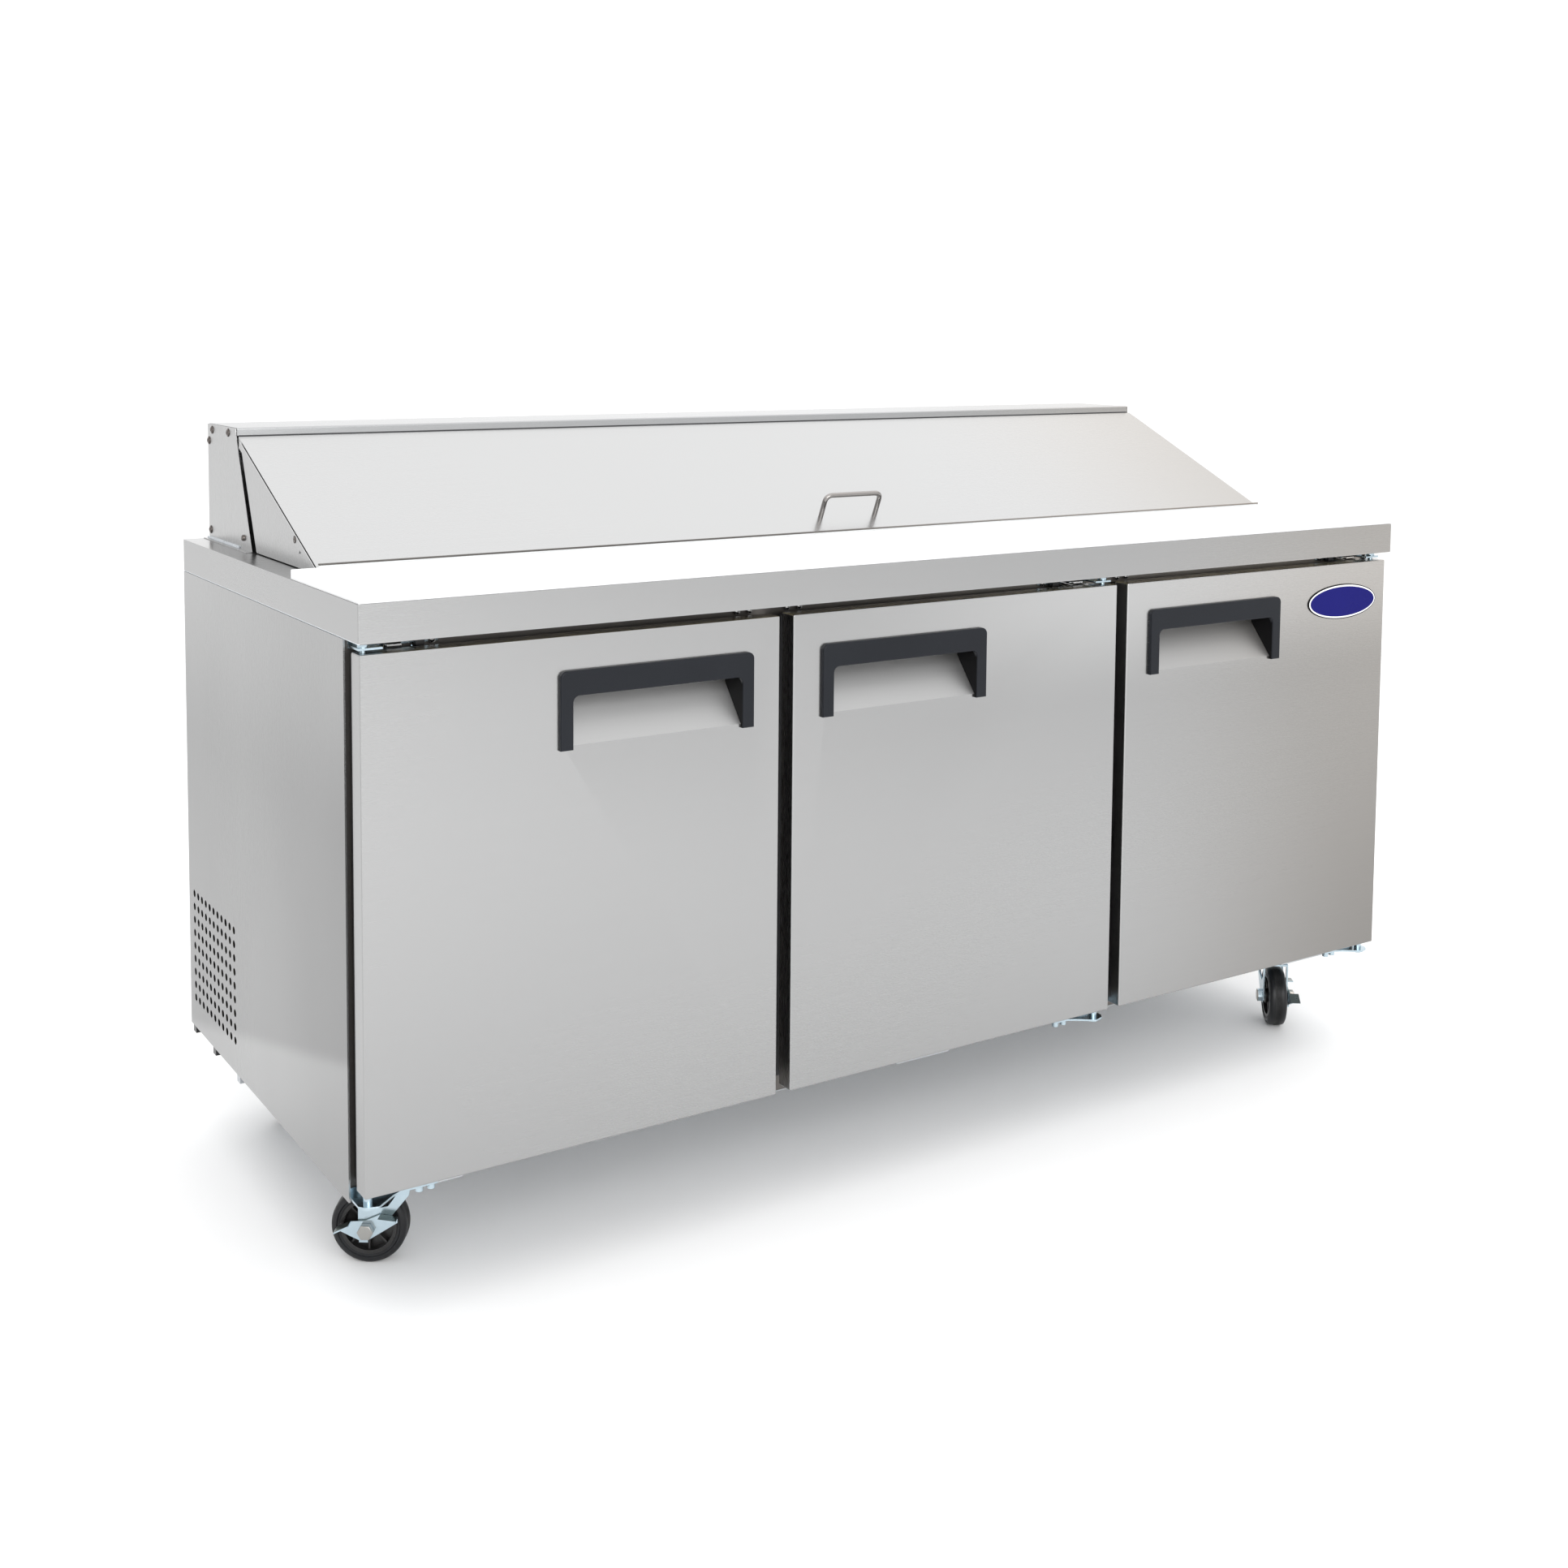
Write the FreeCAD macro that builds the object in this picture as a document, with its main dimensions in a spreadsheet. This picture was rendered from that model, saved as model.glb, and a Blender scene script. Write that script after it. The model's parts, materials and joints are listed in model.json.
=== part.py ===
import FreeCAD, Part
import os
import Sketcher
from FreeCAD import Placement, Rotation, Vector

# A three-door refrigerated sandwich prep table on casters, in millimetres.
# +Z is up, the doors face -Y, and the origin is on the floor under the middle of the worktop.

document = FreeCAD.newDocument("prep_table")
sheet = document.addObject("Spreadsheet::Sheet", "dims")

DRIVING = [
    # alias, value, meaning
    ("half_wide", 923.5, "half of the worktop's width"),
    ("half_deep", 381.0, "half of the worktop's depth"),
    ("deck_top", 912.0, "height of the worktop's upper face"),
    ("apron_drop", 49.0, "height of the worktop's folded apron"),
    ("apron_return", 12.0, "width of the apron's inward fold"),
    ("skin", 1.2, "sheet metal thickness"),
    ("cabinet_low", 154.0, "height of the cabinet's underside"),
    ("side_setback", 53.0, "side panel's front edge behind the worktop's front"),
    ("hem", 5.8, "width of the side panel's front hem"),
    ("frame_setback", 59.0, "door frame's front behind the worktop's front"),
    ("frame_sheet", 1.5, "door frame sheet thickness"),
    ("frame_depth", 16.0, "door frame depth"),
    ("bay_front", 520.0, "machine bay's front behind the worktop's front"),
    ("bay_top", 404.0, "machine bay's top"),
    ("foam", 48.8, "insulation thickness"),
    ("side_foam", 33.6, "side wall insulation thickness"),
    ("door_setback", 8.0, "door's face behind the worktop's front"),
    ("door_wide", 598.0, "door width"),
    ("door_tall", 675.0, "door height"),
    ("door_low", 174.5, "door's lower edge"),
    ("door_margin", 4.4, "gap from an outer door to the cabinet's side"),
    ("door_gap", 22.1, "gap between two doors"),
    ("door_sheet", 1.0, "door skin thickness"),
    ("door_body", 28.0, "depth of the door's folded skin"),
    ("door_rim", 30.0, "frame's overlap behind the door's edge"),
    ("plug_inset", 34.0, "door plug's inset from the door's edge"),
    ("plug_back", 68.0, "door plug's back behind the worktop's front"),
    ("gasket_inset", 6.0, "gasket's inset from the door's edge"),
    ("gasket_wide", 20.0, "gasket width"),
    ("gasket_back", 57.5, "gasket's back behind the worktop's front"),
    ("liner_sheet", 2.0, "door liner thickness"),
    ("pivot_in", 12.0, "hinge pivot's inset from the door's edge"),
    ("pivot_back", 30.0, "hinge pivot behind the worktop's front"),
    ("pin_radius", 4.0, "hinge pin radius"),
    ("pin_play", 0.05, "hinge pin radial clearance"),
    ("grip_wide", 290.0, "door handle width"),
    ("grip_high", 805.0, "door handle's top"),
    ("grip_low", 702.0, "door handle's lower tips"),
    ("grip_bar", 33.0, "door handle's bar height"),
    ("grip_leg", 18.0, "door handle's leg width"),
    ("grip_edge", 44.6, "door handle's distance from the door's free edge"),
    ("grip_proud", 6.5, "how far the handle stands out of the door"),
    ("recess_deep", 42.0, "hand recess depth"),
    ("recess_bend", 758.0, "height where the recess's slope ends"),
    ("recess_lip", 707.0, "height where the slope meets the door's face"),
    ("well_wide", 1590.0, "pan cut-out width"),
    ("well_front", 284.0, "pan cut-out's front behind the worktop's front"),
    ("well_back", 591.0, "pan cut-out's back behind the worktop's front"),
    ("pan_deep", 100.0, "food pan depth"),
    ("pan_rim", 13.0, "food pan's rim width"),
    ("pan_gap", 1.0, "gap between two pans' rims"),
    ("board_thick", 13.0, "cutting board thickness"),
    ("board_front", 2.0, "cutting board's front behind the worktop's front"),
    ("board_back", 253.4, "cutting board's back behind the worktop's front"),
    ("board_inset", 1.5, "cutting board's inset from the worktop's side"),
    ("peg_in", 101.0, "board peg's inset from the worktop's side"),
    ("peg_back", 131.0, "board peg behind the worktop's front"),
    ("peg_radius", 4.0, "board peg radius"),
    ("hood_in", 40.0, "hood end's inset from the worktop's side"),
    ("hood_top", 1089.0, "hood's upper face"),
    ("hood_lip", 617.0, "hood lip behind the worktop's front"),
    ("hood_lip_low", 1077.5, "hood lip's lower edge"),
    ("hood_foot", 546.0, "hood end's lower front corner behind the worktop's front"),
    ("hood_wall", 625.0, "hood's inner wall behind the worktop's front"),
    ("lid_in", 42.0, "lid's inset from the worktop's side"),
    ("lid_axis_back", 604.0, "lid pivot behind the worktop's front"),
    ("lid_axis_high", 1066.0, "lid pivot height"),
    ("lid_top_back", 610.0, "lid's rear upper edge behind the worktop's front"),
    ("lid_top_high", 1076.4, "lid's rear upper edge height"),
    ("lid_nose_back", 272.0, "lid's front fold behind the worktop's front"),
    ("lid_nose_high", 923.0, "lid's front fold height"),
    ("lid_low", 913.6, "lid's lower edge"),
    ("lid_slope", 24.41, "lid's slope in degrees"),
    ("pull_span", 105.0, "lid pull's foot spacing"),
    ("pull_radius", 4.0, "lid pull's wire radius"),
    ("pull_tall", 42.0, "lid pull's height"),
    ("pull_bend", 12.0, "lid pull's bend radius"),
    ("pull_back", 318.0, "lid pull behind the worktop's front"),
    ("wheel_radius", 50.8, "caster wheel radius"),
    ("wheel_wide", 31.0, "caster wheel width"),
    ("tyre_inner", 38.0, "tyre's inner radius"),
    ("axle_radius", 5.0, "caster axle radius"),
    ("trail", 33.0, "caster's offset from its swivel to its axle"),
    ("leg_gap", 18.5, "fork leg's inner face from the wheel's middle"),
    ("leg_sheet", 3.0, "fork sheet thickness"),
    ("crown_low", 108.0, "fork crown's underside"),
    ("plate_low", 126.0, "caster plate's underside"),
    ("plate_thick", 4.0, "caster plate thickness"),
    ("kingpin", 6.0, "kingpin radius"),
    ("caster_left_in", 107.0, "left casters' swivel from the worktop's side"),
    ("caster_right_in", 74.0, "right casters' swivel from the worktop's side"),
    ("caster_front_in", 174.0, "front casters' swivel behind the worktop's front"),
    ("caster_rear_in", 90.0, "rear casters' swivel from the worktop's back"),
    ("swivel_front_left", -34.8, "rest angle of the front left caster"),
    ("swivel_front_right", 52.9, "rest angle of the front right caster"),
    ("swivel_rear_left", 192.0, "rest angle of the rear left caster"),
    ("swivel_rear_right", -20.0, "rest angle of the rear right caster"),
    ("vent_radius", 5.6, "side vent hole radius"),
    ("vent_pitch", 20.5, "side vent hole pitch"),
    ("vent_low", 202.0, "lowest row of vent holes"),
    ("vent_front", 528.0, "front column of vent holes behind the worktop's front"),
    ("shelf_high", 520.0, "wire shelf height"),
    ("badge_half_wide", 83.0, "badge half width"),
    ("badge_half_tall", 29.5, "badge half height"),
    ("badge_high", 785.0, "badge's middle height"),
    ("badge_edge", 107.2, "badge's middle from the door's hinge edge"),
    ("badge_thick", 2.5, "badge thickness"),
    ("peg_tall", 10.0, "board peg height"),
    ("peg_play", 0.6, "radial clearance round a board peg"),
    ("board_edge", 1.5, "cutting board's edge radius"),
    ("louvre_in", 70.0, "first louvre slot's inset from the worktop's side"),
    ("louvre_wide", 160.0, "louvre slot width"),
    ("louvre_low", 200.0, "lowest louvre slot"),
    ("louvre_tall", 6.0, "louvre slot height"),
    ("louvre_across", 190.0, "louvre slot pitch across"),
    ("louvre_up", 20.0, "louvre slot pitch upwards"),
    ("channel_wall", 2.5, "base channel thickness"),
    ("channel_front", 35.0, "base channel's front behind the door frame"),
    ("channel_back", 15.0, "base channel's back before the worktop's back"),
    ("lug_low", 142.0, "lower end of the base's edge lugs"),
    ("lug_in", 1.5, "edge lug's inset from the cabinet's side"),
    ("lug_wide", 18.0, "edge lug's width across the cabinet"),
    ("ring_inset", 14.0, "deck foam's inset from the worktop's side"),
    ("strip_top", 790.0, "shelf support strip's top"),
    ("strip_wide", 14.0, "shelf support strip width"),
    ("strip_thick", 2.0, "shelf support strip thickness"),
    ("strip_inset", 22.0, "shelf support strip's inset from the shelf's side"),
    ("clip_reach", 24.0, "how far a shelf clip stands out"),
    ("rim_overlap", 9.0, "pan rim's overlap on the deck"),
    ("bar_half", 6.0, "half of a pan bar's width"),
    ("bar_tall", 9.0, "pan bar height"),
    ("flange_wide", 9.0, "width of the hood end's foot flange"),
    ("hood_end_drop", 0.6, "hood end's top below the hood's upper face"),
    ("lid_drop", 1.32, "lid sheet's vertical thickness on the slope"),
    ("nose_reach", 5.5, "lid's front fold before its upper bend"),
    ("cheek_low_back", 531.0, "lid cheek's rear lower corner behind the worktop's front"),
    ("cheek_high_back", 597.0, "lid cheek's rear upper corner behind the worktop's front"),
    ("cheek_drop", 9.0, "lid cheek's upper notch below the lid pivot"),
    ("boss_back", 340.0, "lid cheek's stop boss behind the worktop's front"),
    ("boss_high", 938.0, "height of the lid cheek's stop boss"),
    ("slab_front", 322.0, "lid's inner pan starts behind the worktop's front"),
    ("slab_back", 590.0, "lid's inner pan ends behind the worktop's front"),
    ("slab_thick", 22.0, "thickness of the lid's inner pan"),
    ("pull_off", 5.0, "lid pull's offset from the middle"),
    ("grip_lap", 6.0, "handle's overlap round the hand recess"),
    ("grip_round", 9.0, "handle's corner radius"),
    ("grip_soft", 2.0, "handle's front edge radius"),
    ("cheek_play", 0.3, "clearance between a recess cheek and the recess"),
    ("foot_thick", 3.0, "hinge plate thickness"),
    ("foot_drop", 17.5, "lower hinge plate's underside below the door"),
    ("bolt_tall", 6.0, "lower hinge bolt head's height"),
    ("leaf_up", 0.8, "upper hinge leaf's lower edge above the door"),
    ("leaf_head_up", 3.8, "upper hinge leaf's screw heads above the door"),
    ("leaf_reach", 108.0, "length of the upper hinge leaf from the pivot"),
    ("arm_reach", 22.0, "length of the upper hinge arm from the pivot"),
    ("coil_low", 628.0, "evaporator's underside"),
    ("coil_high", 806.0, "evaporator's top"),
    ("coil_half", 225.0, "half of the evaporator's width"),
    ("coil_deep", 74.0, "evaporator depth"),
    ("coil_wall", 2.0, "coil casing thickness"),
    ("coil_axis", 717.0, "height of the evaporator fan's axis"),
    ("condenser_tall", 222.0, "condenser height"),
    ("condenser_thick", 40.0, "condenser thickness"),
    ("shroud_radius", 94.0, "fan opening radius in the condenser's shroud"),
    ("mount_half_wide", 52.0, "half of a caster plate's width"),
    ("mount_half_deep", 42.0, "half of a caster plate's depth"),
    ("hex_size", 19.0, "axle bolt head and nut across the flats"),
    ("hex_thick", 9.0, "axle bolt head thickness"),
]


class Size:
    """A dimension that knows its number and the sheet expression that it comes from."""

    def __init__(self, text, number):
        self.text = text
        self.number = number

    def joined(self, sign, other, number):
        return Size("(" + self.text + " " + sign + " " + other.text + ")", number)

    def __add__(self, other):
        other = as_size(other)
        return self.joined("+", other, self.number + other.number)

    def __sub__(self, other):
        other = as_size(other)
        return self.joined("-", other, self.number - other.number)

    def __mul__(self, other):
        other = as_size(other)
        return self.joined("*", other, self.number * other.number)

    def __truediv__(self, other):
        other = as_size(other)
        return self.joined("/", other, self.number / other.number)

    def __neg__(self):
        return Size("(0 - " + self.text + ")", -self.number)

    def __radd__(self, other):
        return as_size(other) + self

    def __rsub__(self, other):
        return as_size(other) - self

    def __rmul__(self, other):
        return as_size(other) * self


def as_size(value):
    if isinstance(value, Size):
        return value
    return Size(repr(float(value)), float(value))


class Dimensions:
    """The driving dimensions of the sheet, one attribute each."""


d = Dimensions()
for row, (alias, value, meaning) in enumerate(DRIVING, start=1):
    sheet.set("A%d" % row, meaning)
    sheet.set("B%d" % row, repr(value))
    sheet.setAlias("B%d" % row, alias)
    setattr(d, alias, Size("dims." + alias, value))
document.recompute()

nodes = {}


def keep(thing, node):
    """Name a finished sub-part; the label becomes its node's name."""
    thing.Label = node
    nodes[node] = thing
    return thing


def bind(thing, path, value):
    thing.setExpression(path, as_size(value).text)


def place(thing, x=0, y=0, z=0):
    bind(thing, "Placement.Base.x", x)
    bind(thing, "Placement.Base.y", y)
    bind(thing, "Placement.Base.z", z)


def depth(value):
    """Y of a plane that lies so far behind the worktop's front edge."""
    return value - d.half_deep


def box(name, x, y, z):
    """A block between two X, two Y and two Z planes."""
    block = document.addObject("Part::Box", name)
    spans = [(as_size(low), as_size(high)) for low, high in (x, y, z)]
    for path, (low, high) in zip(("Length", "Width", "Height"), spans):
        bind(block, path, high - low)
    place(block, spans[0][0], spans[1][0], spans[2][0])
    return block


AXES = {
    "x": Rotation(Vector(0, 1, 0), 90),
    "y": Rotation(Vector(1, 0, 0), -90),
    "z": Rotation(),
}


def rod(name, axis, radius, length, x, y, z):
    """A cylinder from (x, y, z) along the positive axis."""
    cylinder = document.addObject("Part::Cylinder", name)
    bind(cylinder, "Radius", radius)
    bind(cylinder, "Height", length)
    cylinder.Placement = Placement(Vector(), AXES[axis])
    place(cylinder, x, y, z)
    return cylinder


def cut(name, base, tool):
    result = document.addObject("Part::Cut", name)
    result.Base = base
    result.Tool = tool
    return result


def fuse(name, pieces):
    result = document.addObject("Part::MultiFuse", name)
    result.Shapes = pieces
    result.Refine = True
    return result


def group(name, pieces):
    """Separate solids that share one node."""
    result = document.addObject("Part::Compound", name)
    result.Links = pieces
    return result


PLANES = {"x": "YZ_Plane", "y": "XZ_Plane", "z": "XY_Plane"}


def sketch_on(body, name, normal, offset):
    """A sketch square to an axis, at a position along it."""
    sketch = body.newObject("Sketcher::SketchObject", name)
    role = PLANES[normal]
    plane = [item for item in body.Origin.OriginFeatures if item.Role == role][0]
    sketch.AttachmentSupport = (plane, [""])
    sketch.MapMode = "FlatFace"
    position = as_size(offset)
    if normal == "y":
        position = -position
    bind(sketch, "AttachmentOffset.Base.z", position)
    return sketch


def hold(sketch, geometry, point, across, up):
    """Fix a point of a sketch by its distances from the sketch's origin."""
    for kind, axis, value in (("DistanceX", -2, as_size(across)), ("DistanceY", -1, as_size(up))):
        if value.number == 0:
            sketch.addConstraint(Sketcher.Constraint("PointOnObject", geometry, point, axis))
            continue
        index = sketch.addConstraint(
            Sketcher.Constraint(kind, -1, 1, geometry, point, value.number)
        )
        sketch.setExpression("Constraints[%d]" % index, value.text)


def polygon(sketch, corners):
    first = sketch.GeometryCount
    spots = [Vector(as_size(a).number, as_size(b).number, 0) for a, b in corners]
    count = len(spots)
    for index in range(count):
        sketch.addGeometry(Part.LineSegment(spots[index], spots[(index + 1) % count]), False)
    for index in range(count):
        following = first + (index + 1) % count
        sketch.addConstraint(Sketcher.Constraint("Coincident", first + index, 2, following, 1))
    for index, (across, up) in enumerate(corners):
        hold(sketch, first + index, 1, across, up)


def circle(sketch, across, up, radius):
    across = as_size(across)
    up = as_size(up)
    radius = as_size(radius)
    centre = Vector(across.number, up.number, 0)
    index = sketch.addGeometry(Part.Circle(centre, Vector(0, 0, 1), radius.number), False)
    hold(sketch, index, 3, across, up)
    constraint = sketch.addConstraint(Sketcher.Constraint("Radius", index, radius.number))
    sketch.setExpression("Constraints[%d]" % constraint, radius.text)


def body_of(name):
    return document.addObject("PartDesign::Body", name)


def pad(body, name, normal, low, high, corners=None, circles=()):
    """Material between two planes square to an axis; corners run over the other two axes."""
    low = as_size(low)
    high = as_size(high)
    start = high if normal == "y" else low
    sketch = sketch_on(body, name + "_sketch", normal, start)
    if corners:
        polygon(sketch, corners)
    for across, up, radius in circles:
        circle(sketch, across, up, radius)
    feature = body.newObject("PartDesign::Pad", name)
    feature.Profile = sketch
    bind(feature, "Length", high - low)
    return feature


def pocket(body, name, normal, low, high, corners=None, circles=()):
    """A hollow between two planes square to an axis."""
    low = as_size(low)
    high = as_size(high)
    start = high if normal == "y" else low
    sketch = sketch_on(body, name + "_sketch", normal, start)
    if corners:
        polygon(sketch, corners)
    for across, up, radius in circles:
        circle(sketch, across, up, radius)
    feature = body.newObject("PartDesign::Pocket", name)
    feature.Profile = sketch
    feature.Reversed = True
    bind(feature, "Length", high - low)
    return feature


def rounded(body, name, feature, radius, chosen):
    """Fillet the edges of a feature that the chosen test picks by their middle point."""
    document.recompute()
    edges = [
        "Edge%d" % number
        for number, edge in enumerate(feature.Shape.Edges, start=1)
        if chosen(edge)
    ]
    fillet = body.newObject("PartDesign::Fillet", name)
    fillet.Base = (feature, edges)
    bind(fillet, "Radius", radius)
    return fillet


def rectangle(a, b):
    """Corners of a rectangle over two spans."""
    return [(a[0], b[0]), (a[1], b[0]), (a[1], b[1]), (a[0], b[1])]


left = -d.half_wide
right = d.half_wide
front = -d.half_deep
back = d.half_deep
deck_under = d.deck_top - d.skin
apron_low = d.deck_top - d.apron_drop
frame_front = depth(d.frame_setback)
frame_inside = frame_front + d.frame_depth
bay_face = depth(d.bay_front)
riser_face = bay_face - d.foam
step_top = d.bay_top + d.foam
back_inside = back - d.skin - d.foam
floor_top = d.cabinet_low + d.skin + d.foam
side_inside = d.half_wide - d.skin - d.side_foam
door_high = d.door_low + d.door_tall


# --- worktop -----------------------------------------------------------------------------

def make_worktop():
    """One folded sheet: deck, apron with a return, a collar round the pan cut-out, two pegs."""
    outer = box("top_block", (left, right), (front, back), (apron_low, d.deck_top))
    inside = d.skin
    hollow = box(
        "top_hollow",
        (left + inside, right - inside),
        (front + inside, back - inside),
        (apron_low + inside, deck_under),
    )
    mouth = box(
        "top_mouth",
        (left + d.apron_return, right - d.apron_return),
        (front + d.apron_return, back - d.apron_return),
        (apron_low - 1, apron_low + 2 * inside),
    )
    folded = cut("top_folded", cut("top_shell", outer, hollow), mouth)
    half_well = d.well_wide / 2
    collar = box(
        "collar",
        (-half_well - inside, half_well + inside),
        (depth(d.well_front) - inside, depth(d.well_back) + inside),
        (apron_low, d.deck_top),
    )
    well = box(
        "well",
        (-half_well, half_well),
        (depth(d.well_front), depth(d.well_back)),
        (apron_low - 1, d.deck_top + 1),
    )
    pegs = [
        rod("peg_%d" % number, "z", d.peg_radius, d.peg_tall, side * (d.half_wide - d.peg_in),
            depth(d.peg_back), d.deck_top)
        for number, side in enumerate((-1, 1))
    ]
    keep(fuse("worktop", [cut("top_open", fuse("top_joined", [folded, collar]), well)] + pegs),
         "worktop")


def make_board():
    body = body_of("board")
    slab = pad(
        body, "board_slab", "z", d.deck_top, d.deck_top + d.board_thick,
        rectangle(
            (left + d.board_inset, right - d.board_inset),
            (depth(d.board_front), depth(d.board_back)),
        ),
        [(side * (d.half_wide - d.peg_in), depth(d.peg_back), d.peg_radius + d.peg_play)
         for side in (-1, 1)],
    )
    top = (d.deck_top + d.board_thick).number
    rounded(body, "board_edges", slab, d.board_edge,
            lambda edge: edge.Length > 200 and abs(edge.CenterOfMass.z - top) < 1)
    keep(body, "cutting_board")


# --- cabinet shell -----------------------------------------------------------------------

def make_side_panels():
    """Flat side sheets with a hemmed front edge; the left one has the condenser's vents."""
    for side, word in ((-1, "left"), (1, "right")):
        body = body_of("side_" + word)
        outer = side * d.half_wide
        inner = side * (d.half_wide - d.skin)
        hemmed = side * (d.half_wide - 2 * d.skin)
        start = depth(d.side_setback)
        end = back - d.skin
        pad(body, "side_sheet_" + word, "z", d.cabinet_low, apron_low, [
            (outer, start), (hemmed, start), (hemmed, start + d.hem),
            (inner, start + d.hem), (inner, end), (outer, end),
        ])
        if word == "left":
            hole = pocket(body, "vent_hole", "x", left - 1, left + d.skin + 1, None,
                          [(depth(d.vent_front), d.vent_low, d.vent_radius)])
            grid = body.newObject("PartDesign::MultiTransform", "vent_grid")
            steps = []
            for axis, count in (("H_Axis", 11), ("V_Axis", 9)):
                step = body.newObject("PartDesign::LinearPattern", "vent_" + axis[0].lower())
                step.Direction = (hole.Profile[0], [axis])
                bind(step, "Length", d.vent_pitch * (count - 1))
                step.Occurrences = count
                steps.append(step)
            grid.Originals = [hole]
            grid.Transformations = steps
            body.Tip = grid
        keep(body, "side_panel_" + word)


def make_rear_panel():
    """Back sheet with rows of louvre slots behind the machine bay."""
    body = body_of("rear")
    pad(body, "rear_sheet", "y", back - d.skin, back,
        rectangle((left, right), (d.cabinet_low, apron_low)))
    slot = pocket(body, "slot", "y", back - d.skin - 1, back + 1,
                  rectangle((left + d.louvre_in, left + d.louvre_in + d.louvre_wide),
                            (d.louvre_low, d.louvre_low + d.louvre_tall)))
    grid = body.newObject("PartDesign::MultiTransform", "slot_grid")
    steps = []
    for axis, count, pitch in (("H_Axis", 3, d.louvre_across), ("V_Axis", 9, d.louvre_up)):
        step = body.newObject("PartDesign::LinearPattern", "slot_" + axis[0].lower())
        step.Direction = (slot.Profile[0], [axis])
        bind(step, "Length", pitch * (count - 1))
        step.Occurrences = count
        steps.append(step)
    grid.Originals = [slot]
    grid.Transformations = steps
    body.Tip = grid
    keep(body, "rear_panel")


CASTERS = (
    ("front_left", -1, -1),
    ("front_right", 1, -1),
    ("rear_left", -1, 1),
    ("rear_right", 1, 1),
)


def caster_spot(side, end):
    across = side * (d.half_wide - (d.caster_left_in if side < 0 else d.caster_right_in))
    along = depth(d.caster_front_in) if end < 0 else back - d.caster_rear_in
    return across, along


def make_base_frame():
    """Bottom sheet, two cross channels over the casters, a middle channel and edge lugs."""
    plate_top = d.plate_low + d.plate_thick
    parts = [box("bottom_sheet", (left + d.skin, right - d.skin), (frame_front, back - d.skin),
                 (d.cabinet_low, d.cabinet_low + d.skin))]
    wall = d.channel_wall
    for word, middle, half in (
        ("left", caster_spot(-1, -1)[0], 62.0),
        ("middle", as_size(0.0), 50.0),
        ("right", caster_spot(1, -1)[0], 62.0),
    ):
        outer = box("channel_" + word, (middle - half, middle + half),
                    (frame_front + d.channel_front, back - d.channel_back),
                    (plate_top, d.cabinet_low))
        inner = box("channel_hollow_" + word, (middle - half + wall, middle + half - wall),
                    (frame_front + d.channel_front - 1, back - d.channel_back + 1),
                    (plate_top + wall, d.cabinet_low + 1))
        parts.append(cut("channel_cut_" + word, outer, inner))
    for side in (-1, 1):
        for number, behind in enumerate((520.0, 642.0, 748.0)):
            low = side * (d.half_wide - d.lug_in)
            high = side * (d.half_wide - d.lug_in - d.lug_wide)
            span = (low, high) if side < 0 else (high, low)
            parts.append(box("lug_%d_%d" % (side + 1, number), span,
                             (depth(behind) - 7, depth(behind) + 7), (d.lug_low, d.cabinet_low)))
    keep(fuse("base", parts), "base_frame")


def door_spans():
    """Left edge, right edge and hinge side of each door."""
    spans = []
    for number, hinge_side in enumerate((-1, 1, 1)):
        start = left + d.door_margin + number * (d.door_wide + d.door_gap)
        spans.append((start, start + d.door_wide, hinge_side))
    return spans


def make_face_frame():
    """Sheet frame with three door openings, each with a folded return."""
    panel = box("frame_sheet_block", (left + d.skin, right - d.skin),
                (frame_front, frame_front + d.frame_sheet),
                (d.cabinet_low + d.skin, apron_low))
    sleeves = []
    holes = []
    for number, (start, end, _) in enumerate(door_spans()):
        across = (start + d.door_rim, end - d.door_rim)
        up = (d.door_low + d.door_rim, door_high - d.door_rim)
        wall = d.frame_sheet
        sleeves.append(box("sleeve_%d" % number, (across[0] - wall, across[1] + wall),
                           (frame_front, frame_inside), (up[0] - wall, up[1] + wall)))
        holes.append(box("opening_%d" % number, across,
                         (frame_front - 1, frame_inside + 1), up))
    keep(cut("frame", fuse("frame_solid", [panel] + sleeves), fuse("frame_holes", holes)),
         "face_frame")


def make_liner():
    """Inner sheets of the cold space: floor, riser, step, back, sides and ceiling."""
    span = (-side_inside, side_inside)
    well = d.well_wide / 2 + d.skin
    well_front = depth(d.well_front) - d.skin
    well_back = depth(d.well_back) + d.skin
    ceiling = (apron_low - d.skin, apron_low)
    parts = [
        box("liner_floor", span, (frame_inside, riser_face),
            (floor_top - d.skin, floor_top)),
        box("liner_riser", span, (riser_face - d.skin, riser_face), (floor_top, step_top)),
        box("liner_step", span, (riser_face - d.skin, back_inside),
            (step_top, step_top + d.skin)),
        box("liner_back", span, (back_inside - d.skin, back_inside),
            (step_top + d.skin, ceiling[0])),
        box("liner_ceiling_front", span, (frame_inside, well_front), ceiling),
        box("liner_ceiling_back", span, (well_back, back_inside), ceiling),
        box("liner_ceiling_left", (-side_inside, -well), (well_front, well_back), ceiling),
        box("liner_ceiling_right", (well, side_inside), (well_front, well_back), ceiling),
    ]
    for side, word in ((-1, "left"), (1, "right")):
        body = body_of("liner_side_" + word)
        inner = side * side_inside
        outer = side * (side_inside + d.skin)
        low, high = (outer, inner) if side < 0 else (inner, outer)
        pad(body, "liner_sheet_" + word, "x", low, high, [
            (frame_inside, floor_top), (riser_face, floor_top), (riser_face, step_top),
            (back_inside, step_top), (back_inside, apron_low), (frame_inside, apron_low),
        ])
        parts.append(body)
    keep(group("liner", parts), "inner_liner")


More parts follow.
